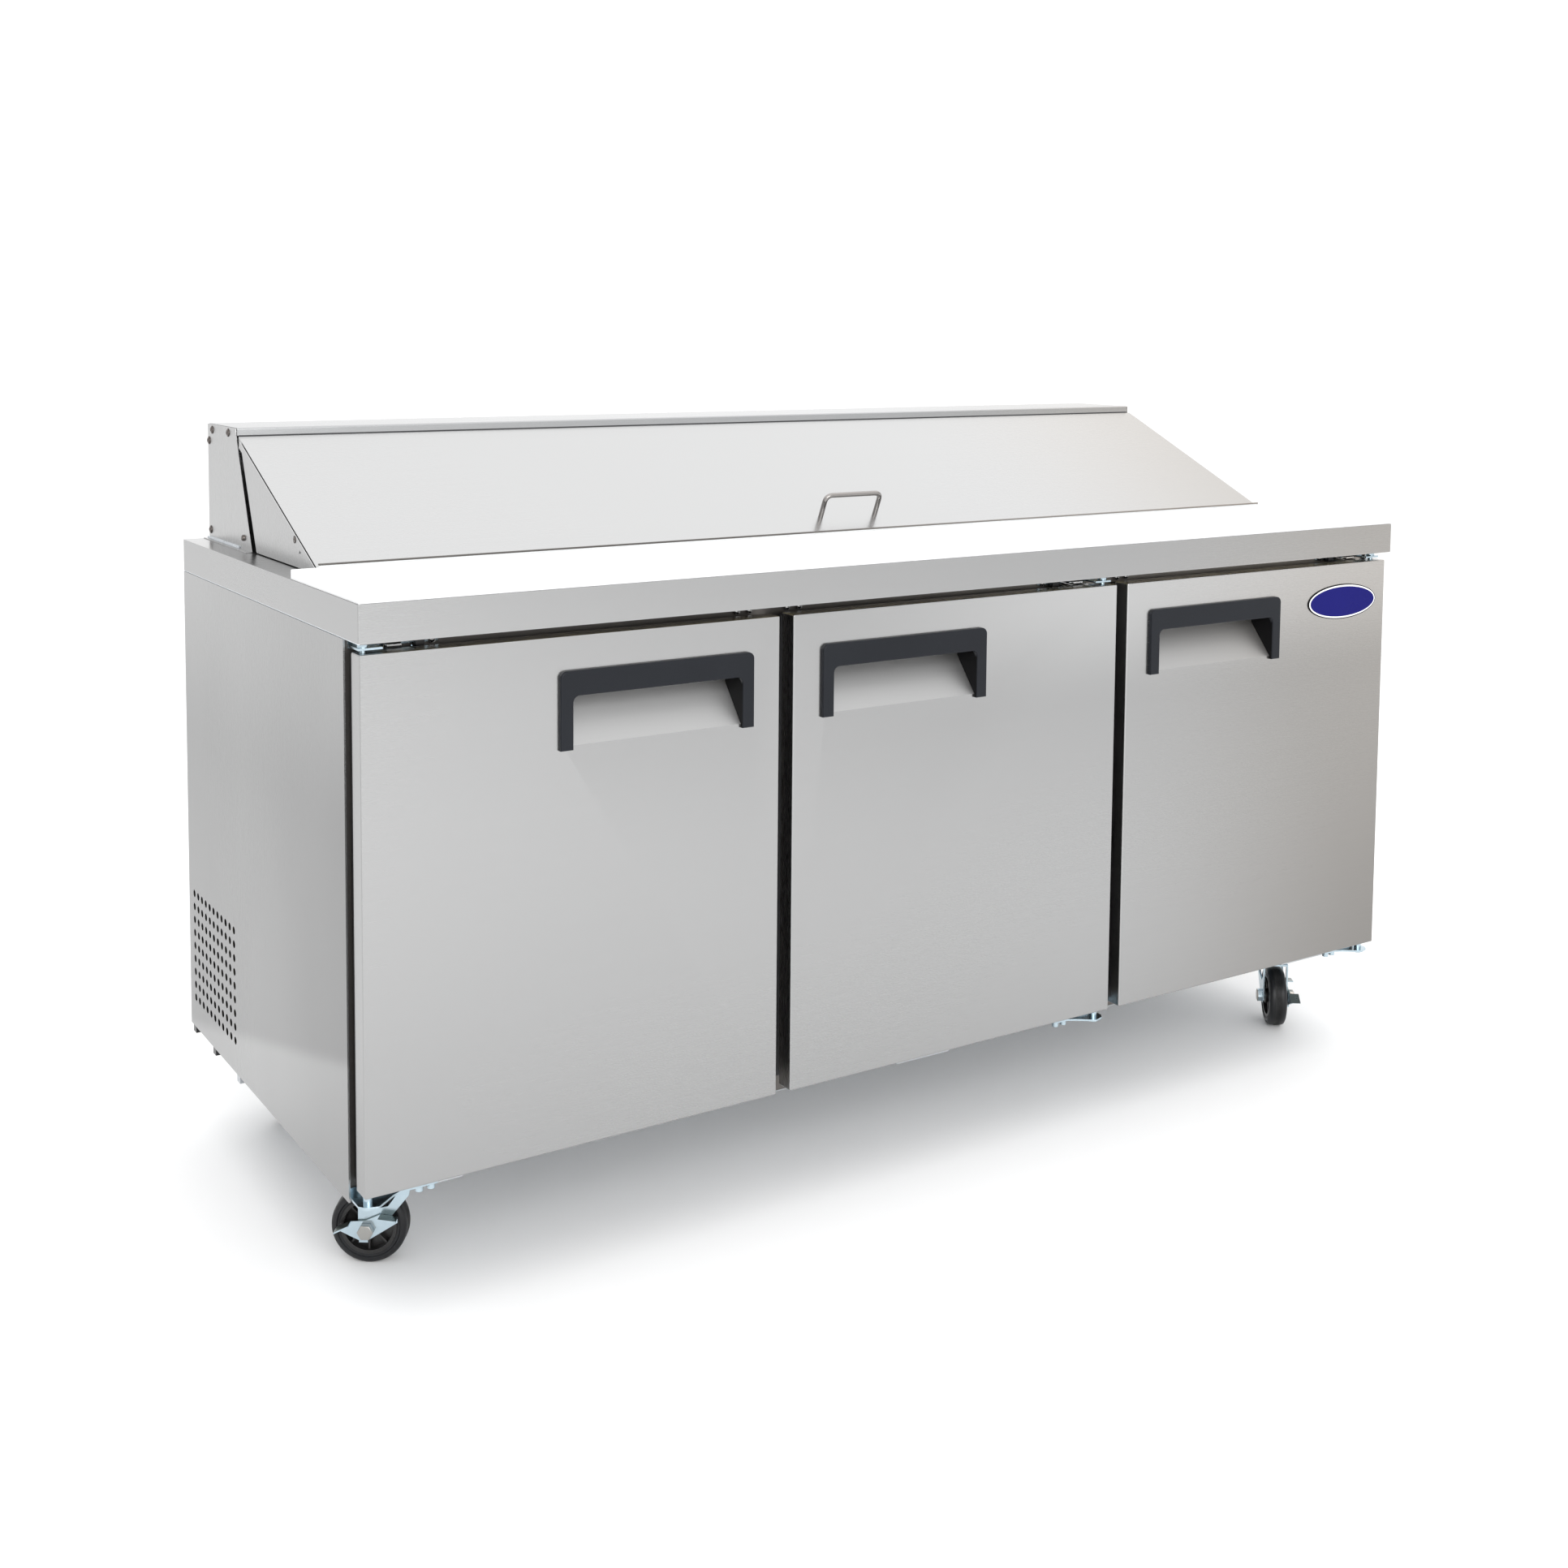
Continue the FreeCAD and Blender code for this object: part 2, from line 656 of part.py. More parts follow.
def make_insulation():
    """Foam slabs between the skins and the liner, and the ring under the deck."""
    full = (left + d.skin, right - d.skin)
    wall = side_inside + d.skin
    rear = (back_inside, back - d.skin)
    ring = (apron_low, deck_under)
    edge = (left + d.ring_inset, right - d.ring_inset)
    well = d.well_wide / 2 + d.skin
    well_front = depth(d.well_front) - d.skin
    well_back = depth(d.well_back) + d.skin
    keep(group("foam_slabs", [
        box("foam_floor", full, (frame_inside, riser_face),
            (d.cabinet_low + d.skin, floor_top - d.skin)),
        box("foam_riser", full, (riser_face, bay_face), (d.cabinet_low + d.skin, step_top)),
        box("foam_step", full, (bay_face, back - d.skin), (d.bay_top, step_top)),
        box("foam_back", full, rear, (step_top, apron_low)),
        box("foam_left", (full[0], -wall), (frame_inside, riser_face),
            (floor_top - d.skin, apron_low)),
        box("foam_right", (wall, full[1]), (frame_inside, riser_face),
            (floor_top - d.skin, apron_low)),
        box("foam_left_rear", (full[0], -wall), (riser_face, back_inside),
            (step_top, apron_low)),
        box("foam_right_rear", (wall, full[1]), (riser_face, back_inside),
            (step_top, apron_low)),
        box("foam_deck_front", edge, (frame_front, well_front), ring),
        box("foam_deck_back", edge, (well_back, back - d.ring_inset), ring),
        box("foam_deck_left", (edge[0], -well), (well_front, well_back), ring),
        box("foam_deck_right", (well, edge[1]), (well_front, well_back), ring),
    ]), "cabinet_insulation")


# --- inside the cabinet ------------------------------------------------------------------

def shelf_span(start, end):
    """A shelf is a little narrower than its door opening."""
    return start + d.door_rim + 6, end - d.door_rim - 6


def make_shelves():
    """One wire shelf per door: a rod frame, three bearers and close-set wires."""
    frame_rod = 3.0
    wire = 1.6
    front_edge = frame_inside + 14
    rear_edge = back_inside - 12
    shelves = []
    for number, (start, end, _) in enumerate(door_spans()):
        low, high = shelf_span(start, end)
        high_z = d.shelf_high
        parts = []
        for index, along in enumerate((front_edge, (front_edge + rear_edge) / 2, rear_edge)):
            parts.append(rod("bearer_%d_%d" % (number, index), "x", frame_rod, high - low,
                             low, along, high_z))
        for index, across in enumerate((low, high)):
            parts.append(rod("shelf_side_%d_%d" % (number, index), "y", frame_rod,
                             rear_edge - front_edge, across, front_edge, high_z))
        count = 20
        for index in range(1, count):
            across = low + (high - low) * (index / count)
            parts.append(rod("wire_%d_%d" % (number, index), "y", wire,
                             rear_edge - front_edge, across, front_edge, high_z + frame_rod))
        shelves.append(fuse("shelf_%d" % number, parts))
    keep(group("shelves", shelves), "wire_shelves")


def make_shelf_supports():
    """Slotted upright strips on the back wall and door frame, each with a clip under a shelf."""
    strips = []
    for number, (start, end, _) in enumerate(door_spans()):
        low, high = shelf_span(start, end)
        for index, across in enumerate((low + d.strip_inset,
                                        high - d.strip_inset - d.strip_wide)):
            for word, face, direction in (("front", frame_inside, 1),
                                          ("rear", back_inside - d.skin, -1)):
                name = "strip_%d_%d_%s" % (number, index, word)
                spans = (face, face + direction * d.strip_thick)
                clip = (face, face + direction * d.clip_reach)
                if direction < 0:
                    spans = (spans[1], spans[0])
                    clip = (clip[1], clip[0])
                bottom = floor_top if word == "front" else step_top + d.skin
                upright = box(name, (across, across + d.strip_wide), spans,
                              (bottom, d.strip_top))
                ledge = box(name + "_clip", (across + 2, across + d.strip_wide - 2), clip,
                            (d.shelf_high - 9, d.shelf_high - 3))
                strips.append(fuse(name + "_joined", [upright, ledge]))
    keep(group("supports", strips), "shelf_supports")


PAN_COUNT = 9


def upright_rounded(name, block, radius):
    """A block with its four upright edges rounded."""
    document.recompute()
    result = document.addObject("Part::Fillet", name)
    result.Base = block
    result.Edges = [
        (number, radius, radius)
        for number, edge in enumerate(block.Shape.Edges, start=1)
        if edge.BoundBox.ZLength > 0.9 * block.Height.Value
    ]
    return result


def make_pans():
    """Third-size food pans side by side, each with a flat rim on the deck and round corners."""
    pitch = d.well_wide / PAN_COUNT
    rim = (depth(d.well_front) - d.rim_overlap, depth(d.well_back) + d.rim_overlap)
    wall = 1.0
    corner = 18.0
    bottom = d.deck_top - d.pan_deep
    pans = []
    for number in range(PAN_COUNT):
        middle = -d.well_wide / 2 + pitch * (number + 0.5)
        half = (pitch - d.pan_gap) / 2
        lip = box("pan_rim_%d" % number, (middle - half, middle + half), rim,
                  (d.deck_top, d.deck_top + d.skin))
        shells = []
        for word, inset, low in (("bowl", d.pan_rim, bottom),
                                 ("hollow", d.pan_rim + wall, bottom + wall)):
            block = box("pan_%s_block_%d" % (word, number),
                        (middle - half + inset, middle + half - inset),
                        (rim[0] + inset, rim[1] - inset), (low, d.deck_top + d.skin))
            radius = corner if word == "bowl" else corner - wall
            shells.append(upright_rounded("pan_%s_%d" % (word, number), block, radius))
        pans.append(cut("pan_%d" % number,
                        fuse("pan_solid_%d" % number, [lip, shells[0]]), shells[1]))
    keep(group("pans", pans), "food_pans")


def make_pan_bars():
    """Bars across the cut-out that carry the pans' rims."""
    pitch = d.well_wide / PAN_COUNT
    bars = []
    for number in range(1, PAN_COUNT):
        middle = -d.well_wide / 2 + pitch * number
        bars.append(box("bar_%d" % number, (middle - d.bar_half, middle + d.bar_half),
                        (depth(d.well_front), depth(d.well_back)),
                        (d.deck_top - d.bar_tall, d.deck_top)))
    keep(group("bars", bars), "pan_bars")


# --- hood and lid ------------------------------------------------------------------------

def make_hood():
    """Bent sheet of back, cap and lip; two end plates; an inner wall with the lid's pivots."""
    body = body_of("hood")
    lip = depth(d.hood_lip)
    pad(body, "hood_bend", "x", left + d.lid_in, right - d.lid_in, [
        (lip, d.hood_lip_low), (lip + d.skin, d.hood_lip_low),
        (lip + d.skin, d.hood_top - d.skin), (back - d.skin, d.hood_top - d.skin),
        (back - d.skin, d.deck_top), (back, d.deck_top), (back, d.hood_top),
        (lip, d.hood_top),
    ])
    keep(body, "hood_shell")

    ends = []
    for side, word in ((-1, "left"), (1, "right")):
        plate = body_of("hood_end_" + word)
        outer = side * (d.half_wide - d.hood_in)
        inner = side * (d.half_wide - d.hood_in - d.skin)
        flange = side * (d.half_wide - d.hood_in + d.flange_wide)
        foot = depth(d.hood_foot)
        low, high = (outer, inner) if side < 0 else (inner, outer)
        pad(plate, "hood_plate_" + word, "x", low, high, [
            (foot, d.deck_top), (back, d.deck_top), (back, d.hood_top - d.hood_end_drop),
            (lip, d.hood_top - d.hood_end_drop), (lip, d.hood_lip_low),
        ])
        low, high = (flange, inner) if side < 0 else (inner, flange)
        pad(plate, "hood_flange_" + word, "z", d.deck_top, d.deck_top + d.skin,
            rectangle((low, high), (foot, back)))
        ends.append(plate)
    keep(group("hood_plates", ends), "hood_ends")

    wall = depth(d.hood_wall)
    parts = [box("hood_inner", (left + d.lid_in, right - d.lid_in), (wall, wall + d.skin),
                 (d.deck_top, d.hood_top - d.skin))]
    axis_y = depth(d.lid_axis_back)
    for side, word in ((-1, "left"), (1, "right")):
        near = side * (d.half_wide - d.lid_in - 3)
        far = side * (d.half_wide - d.lid_in - 6)
        low, high = (near, far) if side < 0 else (far, near)
        tip = side * (d.half_wide - d.hood_in - d.skin - 0.4)
        start, end = (tip, far) if side < 0 else (far, tip)
        parts += [
            box("pivot_stem_" + word, (low, high), (axis_y - 5, axis_y + 4),
                (d.lid_axis_high - 21, d.lid_axis_high)),
            box("pivot_foot_" + word, (low, high), (axis_y - 5, wall),
                (d.lid_axis_high - 21, d.lid_axis_high - 14)),
            rod("pivot_pin_" + word, "x", d.pin_radius, end - start, start, axis_y,
                d.lid_axis_high),
        ]
    keep(fuse("hood_wall", parts), "hood_liner")


def lid_height(behind):
    """Height of the lid's outer face so far behind the worktop's front."""
    rise = (d.lid_top_high - d.lid_nose_high) / (d.lid_top_back - d.lid_nose_back)
    return d.lid_nose_high + (behind - d.lid_nose_back) * rise


def make_lid():
    """Folded lid sheet with side plates, an insulated inner pan and a wire pull."""
    body = body_of("lid")
    low = left + d.lid_in
    high = right - d.lid_in
    nose = depth(d.lid_nose_back)
    nose_face = nose - d.nose_reach
    nose_inner = nose_face + d.skin
    top = depth(d.lid_top_back)
    pad(body, "lid_slope_sheet", "x", low, high, [
        (top, d.lid_top_high), (nose, d.lid_nose_high), (nose_face, d.lid_nose_high - 3),
        (nose_face, d.lid_low), (nose_inner, d.lid_low), (nose_inner, d.lid_nose_high - 4),
        (nose, d.lid_nose_high - d.lid_drop), (top, d.lid_top_high - d.lid_drop),
    ])
    for side, word in ((-1, "left"), (1, "right")):
        outer = side * (d.half_wide - d.lid_in)
        inner = side * (d.half_wide - d.lid_in - d.skin)
        start, end = (outer, inner) if side < 0 else (inner, outer)
        pad(body, "lid_cheek_" + word, "x", start, end, [
            (top, d.lid_top_high), (nose, d.lid_nose_high), (nose_face, d.lid_nose_high - 3),
            (nose_face, d.lid_low), (depth(d.cheek_low_back), d.lid_low),
            (depth(d.cheek_high_back), d.lid_axis_high - d.cheek_drop),
            (top, d.lid_axis_high - d.cheek_drop),
        ])
        pocket(body, "lid_pivot_" + word, "x", start - 1, end + 1, None,
               [(depth(d.lid_axis_back), d.lid_axis_high, d.pin_radius + d.pin_play)])
        bump = side * (d.half_wide - d.lid_in + 1.6)
        start, end = (bump, outer) if side < 0 else (outer, bump)
        pad(body, "lid_screw_" + word, "x", start, end, None,
            [(depth(d.boss_back), d.boss_high, 4.5)])
    keep(body, "lid_shell")

    pan = body_of("lid_pan")
    first = d.slab_front
    last = d.slab_back
    thick = d.slab_thick
    gap = d.lid_drop + 0.1
    pad(pan, "lid_pan_slab", "x", low + 20, high - 20, [
        (depth(first), lid_height(first) - gap), (depth(last), lid_height(last) - gap),
        (depth(last), lid_height(last) - gap - thick),
        (depth(first) + 10, lid_height(first + 10) - gap - thick),
    ])
    keep(pan, "lid_liner")

    bend = d.pull_bend
    radius = d.pull_radius
    half = d.pull_span / 2
    straight = d.pull_tall - bend - radius
    pieces = []
    for side, word in ((-1, "left"), (1, "right")):
        pieces.append(rod("pull_leg_" + word, "z", radius, straight, side * half, 0, 0))
        ring = document.addObject("Part::Torus", "pull_bend_" + word)
        bind(ring, "Radius1", bend)
        bind(ring, "Radius2", radius)
        ring.Angle3 = 90
        turn = Rotation(Vector(1, 0, 0), 90)
        if side < 0:
            turn = Rotation(Vector(0, 0, 1), 180) * turn
        ring.Placement = Placement(Vector(), turn)
        place(ring, side * (half - bend), 0, straight)
        pieces.append(ring)
    pieces.append(rod("pull_bar", "x", radius, d.pull_span - 2 * bend, -half + bend, 0,
                      straight + bend))
    pull = fuse("pull", pieces)
    pull.Placement = Placement(Vector(), Rotation(Vector(1, 0, 0), d.lid_slope.number))
    bind(pull, "Placement.Rotation.Angle", d.lid_slope)
    place(pull, d.pull_off, depth(d.pull_back), lid_height(d.pull_back))
    keep(pull, "lid_handle")


# --- doors -------------------------------------------------------------------------------

DOOR_WORDS = ("left", "middle", "right")


def grip_span(start, end, hinge_side):
    """Outer edges of a door's handle, which sits near the door's free edge."""
    if hinge_side < 0:
        high = end - d.grip_edge
        return high - d.grip_wide, high
    low = start + d.grip_edge + 2
    return low, low + d.grip_wide


def recess_outline(grow):
    """Side view of the hand recess, in Y and Z, larger by a thickness all round."""
    face = depth(d.door_setback)
    return [
        (face - 1, d.recess_lip - grow), (face, d.recess_lip - grow),
        (face + d.recess_deep + grow, d.recess_bend - grow),
        (face + d.recess_deep + grow, d.grip_high - d.grip_lap + grow),
        (face - 1, d.grip_high - d.grip_lap + grow),
    ]


def prism(name, low, high, outline):
    body = body_of(name)
    pad(body, name + "_pad", "x", low, high, outline)
    return body


def make_door(word, start, end, hinge_side):
    face = depth(d.door_setback)
    skin_back = face + d.door_body
    thin = d.door_sheet
    pivot_x = start + d.pivot_in if hinge_side < 0 else end - d.pivot_in
    pivot_y = depth(d.pivot_back)
    grip_low, grip_high = grip_span(start, end, hinge_side)
    inset = d.grip_lap
    recess_top = d.grip_high - d.grip_lap

    outer = box("skin_block_" + word, (start, end), (face, skin_back), (d.door_low, door_high))
    hollow = box("skin_hollow_" + word, (start + thin, end - thin),
                 (face + thin, skin_back + 1), (d.door_low + thin, door_high - thin))
    bore = rod("skin_bore_" + word, "z", d.pin_radius + d.pin_play, d.door_tall + 2,
               pivot_x, pivot_y, d.door_low - 1)
    pan = cut("skin_pan_" + word, outer, hollow)
    around = prism("recess_block_" + word, grip_low + inset - thin, grip_high - inset + thin,
                   [(y, z) for y, z in recess_outline(thin)][1:4]
                   + [(face, recess_top + thin)])
    inside = prism("recess_hollow_" + word, grip_low + inset, grip_high - inset,
                   recess_outline(0))
    skin = cut("skin_open_" + word, fuse("skin_joined_" + word, [pan, around]), inside)
    keep(cut("skin_" + word, skin, bore), "door_skin_" + word)

    plug_front = skin_back + d.liner_sheet
    plug_in = d.plug_inset
    flange = box("flange_" + word, (start + 1, end - 1), (skin_back, plug_front),
                 (d.door_low + 1, door_high - 1))
    plug = box("plug_" + word, (start + plug_in, end - plug_in),
               (skin_back, depth(d.plug_back)), (d.door_low + plug_in, door_high - plug_in))
    inner = box("plug_hollow_" + word,
                (start + plug_in + d.liner_sheet, end - plug_in - d.liner_sheet),
                (skin_back - 1, depth(d.plug_back) - d.liner_sheet),
                (d.door_low + plug_in + d.liner_sheet, door_high - plug_in - d.liner_sheet))
    keep(cut("liner_" + word, fuse("liner_joined_" + word, [flange, plug]), inner),
         "door_liner_" + word)

    fill = box("fill_" + word, (start + thin, end - thin), (face + thin, skin_back),
               (d.door_low + thin, door_high - thin))
    deep = box("fill_deep_" + word,
               (start + plug_in + d.liner_sheet, end - plug_in - d.liner_sheet),
               (skin_back - 1, depth(d.plug_back) - d.liner_sheet),
               (d.door_low + plug_in + d.liner_sheet, door_high - plug_in - d.liner_sheet))
    wide_bore = rod("fill_bore_" + word, "z", d.pin_radius + 1, d.door_tall + 2,
                    pivot_x, pivot_y, d.door_low - 1)
    notch = prism("fill_notch_" + word, grip_low + inset - thin, grip_high - inset + thin,
                  recess_outline(thin))
    solid = cut("foam_open_" + word, fuse("foam_joined_" + word, [fill, deep]), notch)
    keep(cut("foam_" + word, solid, wide_bore), "door_foam_" + word)

    ring_out = d.gasket_inset
    ring_in = d.gasket_inset + d.gasket_wide
    ring = box("ring_" + word, (start + ring_out, end - ring_out),
               (plug_front, depth(d.gasket_back)),
               (d.door_low + ring_out, door_high - ring_out))
    middle = box("ring_hole_" + word, (start + ring_in, end - ring_in),
                 (plug_front - 1, depth(d.gasket_back) + 1),
                 (d.door_low + ring_in, door_high - ring_in))
    keep(cut("gasket_" + word, ring, middle), "door_gasket_" + word)

    make_grip(word, grip_low, grip_high, inset)


def make_grip(word, low, high, inset):
    """Inverted U of moulded plastic on the door's face, with a cheek at each recess end."""
    face = depth(d.door_setback)
    proud = face - d.grip_proud
    body = body_of("grip_" + word)
    bar_low = d.grip_high - d.grip_bar
    arch = pad(body, "grip_arch_" + word, "y", proud, face, [
        (low, d.grip_low), (low + d.grip_leg, d.grip_low), (low + d.grip_leg, bar_low),
        (high - d.grip_leg, bar_low), (high - d.grip_leg, d.grip_low), (high, d.grip_low),
        (high, d.grip_high), (low, d.grip_high),
    ])
    outer_x = (low.number, high.number)
    inner_x = ((low + d.grip_leg).number, (high - d.grip_leg).number)

    def upper_corner(edge):
        middle = edge.CenterOfMass
        upright = edge.BoundBox.YLength > 5 and edge.BoundBox.XLength < 1
        outside = min(abs(middle.x - x) for x in outer_x) < 1 and middle.z > d.grip_high.number - 1
        inside = min(abs(middle.x - x) for x in inner_x) < 1 and middle.z > bar_low.number - 1
        return upright and (outside or inside)

    bends = rounded(body, "grip_bends_" + word, arch, d.grip_round, upper_corner)
    front_plane = proud.number
    rounded(body, "grip_soft_" + word, bends, d.grip_soft,
            lambda edge: abs(edge.BoundBox.YMin - front_plane) < 0.1
            and abs(edge.BoundBox.YMax - front_plane) < 0.1)
    play = d.cheek_play
    cheek = recess_outline(-play)[1:4] + [(face, d.grip_high - inset - play)]
    pad(body, "cheek_low_" + word, "x", low + inset + play, low + d.grip_leg, cheek)
    pad(body, "cheek_high_" + word, "x", high - d.grip_leg, high - inset - play, cheek)
    keep(body, "door_handle_" + word)


def make_badge(end):
    """Plain oval plate on the right door."""
    face = depth(d.door_setback)
    oval = document.addObject("Part::Ellipse", "badge_outline")
    bind(oval, "MajorRadius", d.badge_half_wide)
    bind(oval, "MinorRadius", d.badge_half_tall)
    plate = document.addObject("Part::Extrusion", "badge_plate")
    plate.Base = oval
    plate.DirMode = "Custom"
    plate.Dir = Vector(0, 0, 1)
    bind(plate, "LengthFwd", d.badge_thick)
    plate.Solid = True
    plate.Placement = Placement(Vector(), Rotation(Vector(1, 0, 0), 90))
    place(plate, end - d.badge_edge, face, d.badge_high)
    keep(plate, "badge")


def lower_hinge(word, pivot_x, pivot_y, inward, bolt_reach):
    """Plate on the frame's foot with a blunt nose round the pivot, and its fixing bolts."""
    low = d.door_low - d.foot_drop
    plate = body_of("foot_" + word)
    pad(plate, "foot_plate_" + word, "z", low, low + d.foot_thick, [
        (pivot_x - 14 * inward, frame_front), (pivot_x - 14 * inward, pivot_y - 4),
        (pivot_x - 8 * inward, pivot_y - 12), (pivot_x + 8 * inward, pivot_y - 17),
        (pivot_x + 34 * inward, pivot_y + 3), (pivot_x + 46 * inward, pivot_y + 9),
        (pivot_x + (bolt_reach + 14) * inward, pivot_y + 10),
        (pivot_x + (bolt_reach + 14) * inward, frame_front),
    ])
    heel = sorted((pivot_x - 14 * inward, pivot_x + (bolt_reach + 14) * inward),
                  key=lambda s: s.number)
    parts = [
        plate,
        box("heel_" + word, heel, (frame_front - 3, frame_front), (low, low + 14)),
        rod("low_pin_" + word, "z", d.pin_radius, 30.0, pivot_x, pivot_y, low),
        rod("low_washer_" + word, "z", 6.0, 13.7, pivot_x, pivot_y, low + d.foot_thick),
        rod("low_nut_" + word, "z", 6.5, 5.0, pivot_x, pivot_y, low - 5),
    ]
    for number, along in enumerate((bolt_reach - 9, bolt_reach + 7)):
        parts.append(rod("foot_bolt_%s_%d" % (word, number), "z", 5.0, d.bolt_tall,
                         pivot_x + along * inward, pivot_y + 15, low - d.bolt_tall))
    return fuse("lower_" + word, parts)


def make_hinges():
    """Zinc brackets above and below each door, with the pin that the door turns on."""
    brackets = []
    bolt_reaches = (82.0, 58.0, 58.0)
    for word, (start, end, hinge_side), bolt_reach in zip(DOOR_WORDS, door_spans(),
                                                          bolt_reaches):
        pivot_x = start + d.pivot_in if hinge_side < 0 else end - d.pivot_in
        pivot_y = depth(d.pivot_back)
        inward = -hinge_side
        back_end = pivot_x - 9 * inward
        arm = sorted((back_end, pivot_x + d.arm_reach * inward), key=lambda s: s.number)
        leaf = sorted((back_end, pivot_x + d.leaf_reach * inward), key=lambda s: s.number)
        top = door_high + 3
        upper = [
            box("arm_" + word, arm, (pivot_y - 10, frame_front), (top, top + d.foot_thick)),
            box("leaf_" + word, leaf, (frame_front - 3, frame_front),
                (door_high + d.leaf_up, apron_low - 0.5)),
            rod("top_pin_" + word, "z", d.pin_radius, 18.0, pivot_x, pivot_y, door_high - 15),
            rod("top_nut_" + word, "z", 7.0, 4.0, pivot_x, pivot_y, top + d.foot_thick),
        ]
        brackets.append(fuse("upper_" + word, upper))
        brackets.append(lower_hinge(word, pivot_x, pivot_y, inward, bolt_reach))
    keep(group("hinges", brackets), "hinge_brackets")


def make_screws():
    """Button heads on the hood's ends and on the hinge leaves."""
    heads = []
    for side in (-1, 1):
        for number, (behind, high) in enumerate(
                ((738.0, 1080.0), (655.0, 1080.0), (755.0, 1063.0), (752.0, 926.0),
                 (584.0, 930.0))):
            at = side * (d.half_wide - d.hood_in) if side > 0 else -(d.half_wide - d.hood_in) - 2
            heads.append(rod("hood_head_%d_%d" % (side + 1, number), "x", 4.5, 2.0, at,
                             depth(behind), high))
    for word, (start, end, hinge_side) in zip(DOOR_WORDS, door_spans()):
        pivot_x = start + d.pivot_in if hinge_side < 0 else end - d.pivot_in
        for number, along in enumerate((79.0, 99.0)):
            heads.append(rod("leaf_head_%s_%d" % (word, number), "y", 3.6, 2.0,
                             pivot_x - hinge_side * along, frame_front - 5,
                             door_high + d.leaf_head_up))
    keep(group("heads", heads), "screws")


# --- refrigeration -----------------------------------------------------------------------

def fan_at(name, axis, x, y, z, radius, hub, thick):
    """A fan of five pitched blades on a hub with a shaft bore, turning about an axis."""
    pieces = [rod(name + "_hub", "z", hub, thick, 0, 0, -thick / 2)]
    for number in range(5):
        blade = document.addObject("Part::Box", name + "_blade_%d" % number)
        blade.Length = radius - hub + 3
        blade.Width = 34.0
        blade.Height = 2.0
        turn = Rotation(Vector(0, 0, 1), 72.0 * number)
        tilt = Rotation(Vector(1, 0, 0), 24.0)
        blade.Placement = Placement(
            turn.multVec(Vector(hub - 3, 0, 0) + tilt.multVec(Vector(0, -17, -1))), turn * tilt)
        pieces.append(blade)
    whole = fuse(name + "_solid", pieces)
    bore = rod(name + "_bore", "z", 3.05, thick + 2, 0, 0, -thick / 2 - 1)
    fan = cut(name, whole, bore)
    fan.Placement = Placement(Vector(), AXES[axis])
    place(fan, x, y, z)
    return fan


def finned(name, x, y, z, count):
    """A coil block: end plates and tubes carrying thin fins, all one soldered piece."""
    low, high = (as_size(y[0]), as_size(y[1]))
    parts = [
        box(name + "_end_a", x, (low, low + 2), z),
        box(name + "_end_b", x, (high - 2, high), z),
    ]
    middle = (as_size(x[0]) + as_size(x[1])) / 2
    rows = 5
    for row in range(rows):
        up = as_size(z[0]) + (as_size(z[1]) - as_size(z[0])) * ((row + 0.5) / rows)
        parts.append(rod(name + "_tube_%d" % row, "y", 4.5, high - low, middle, low, up))
    for number in range(1, count):
        along = low + (high - low) * (number / count)
        parts.append(box(name + "_fin_%d" % number, (x[0] + 1, x[1] - 1),
                         (along, along + 1), (z[0] + 2, z[1] - 2)))
    return fuse(name, parts)


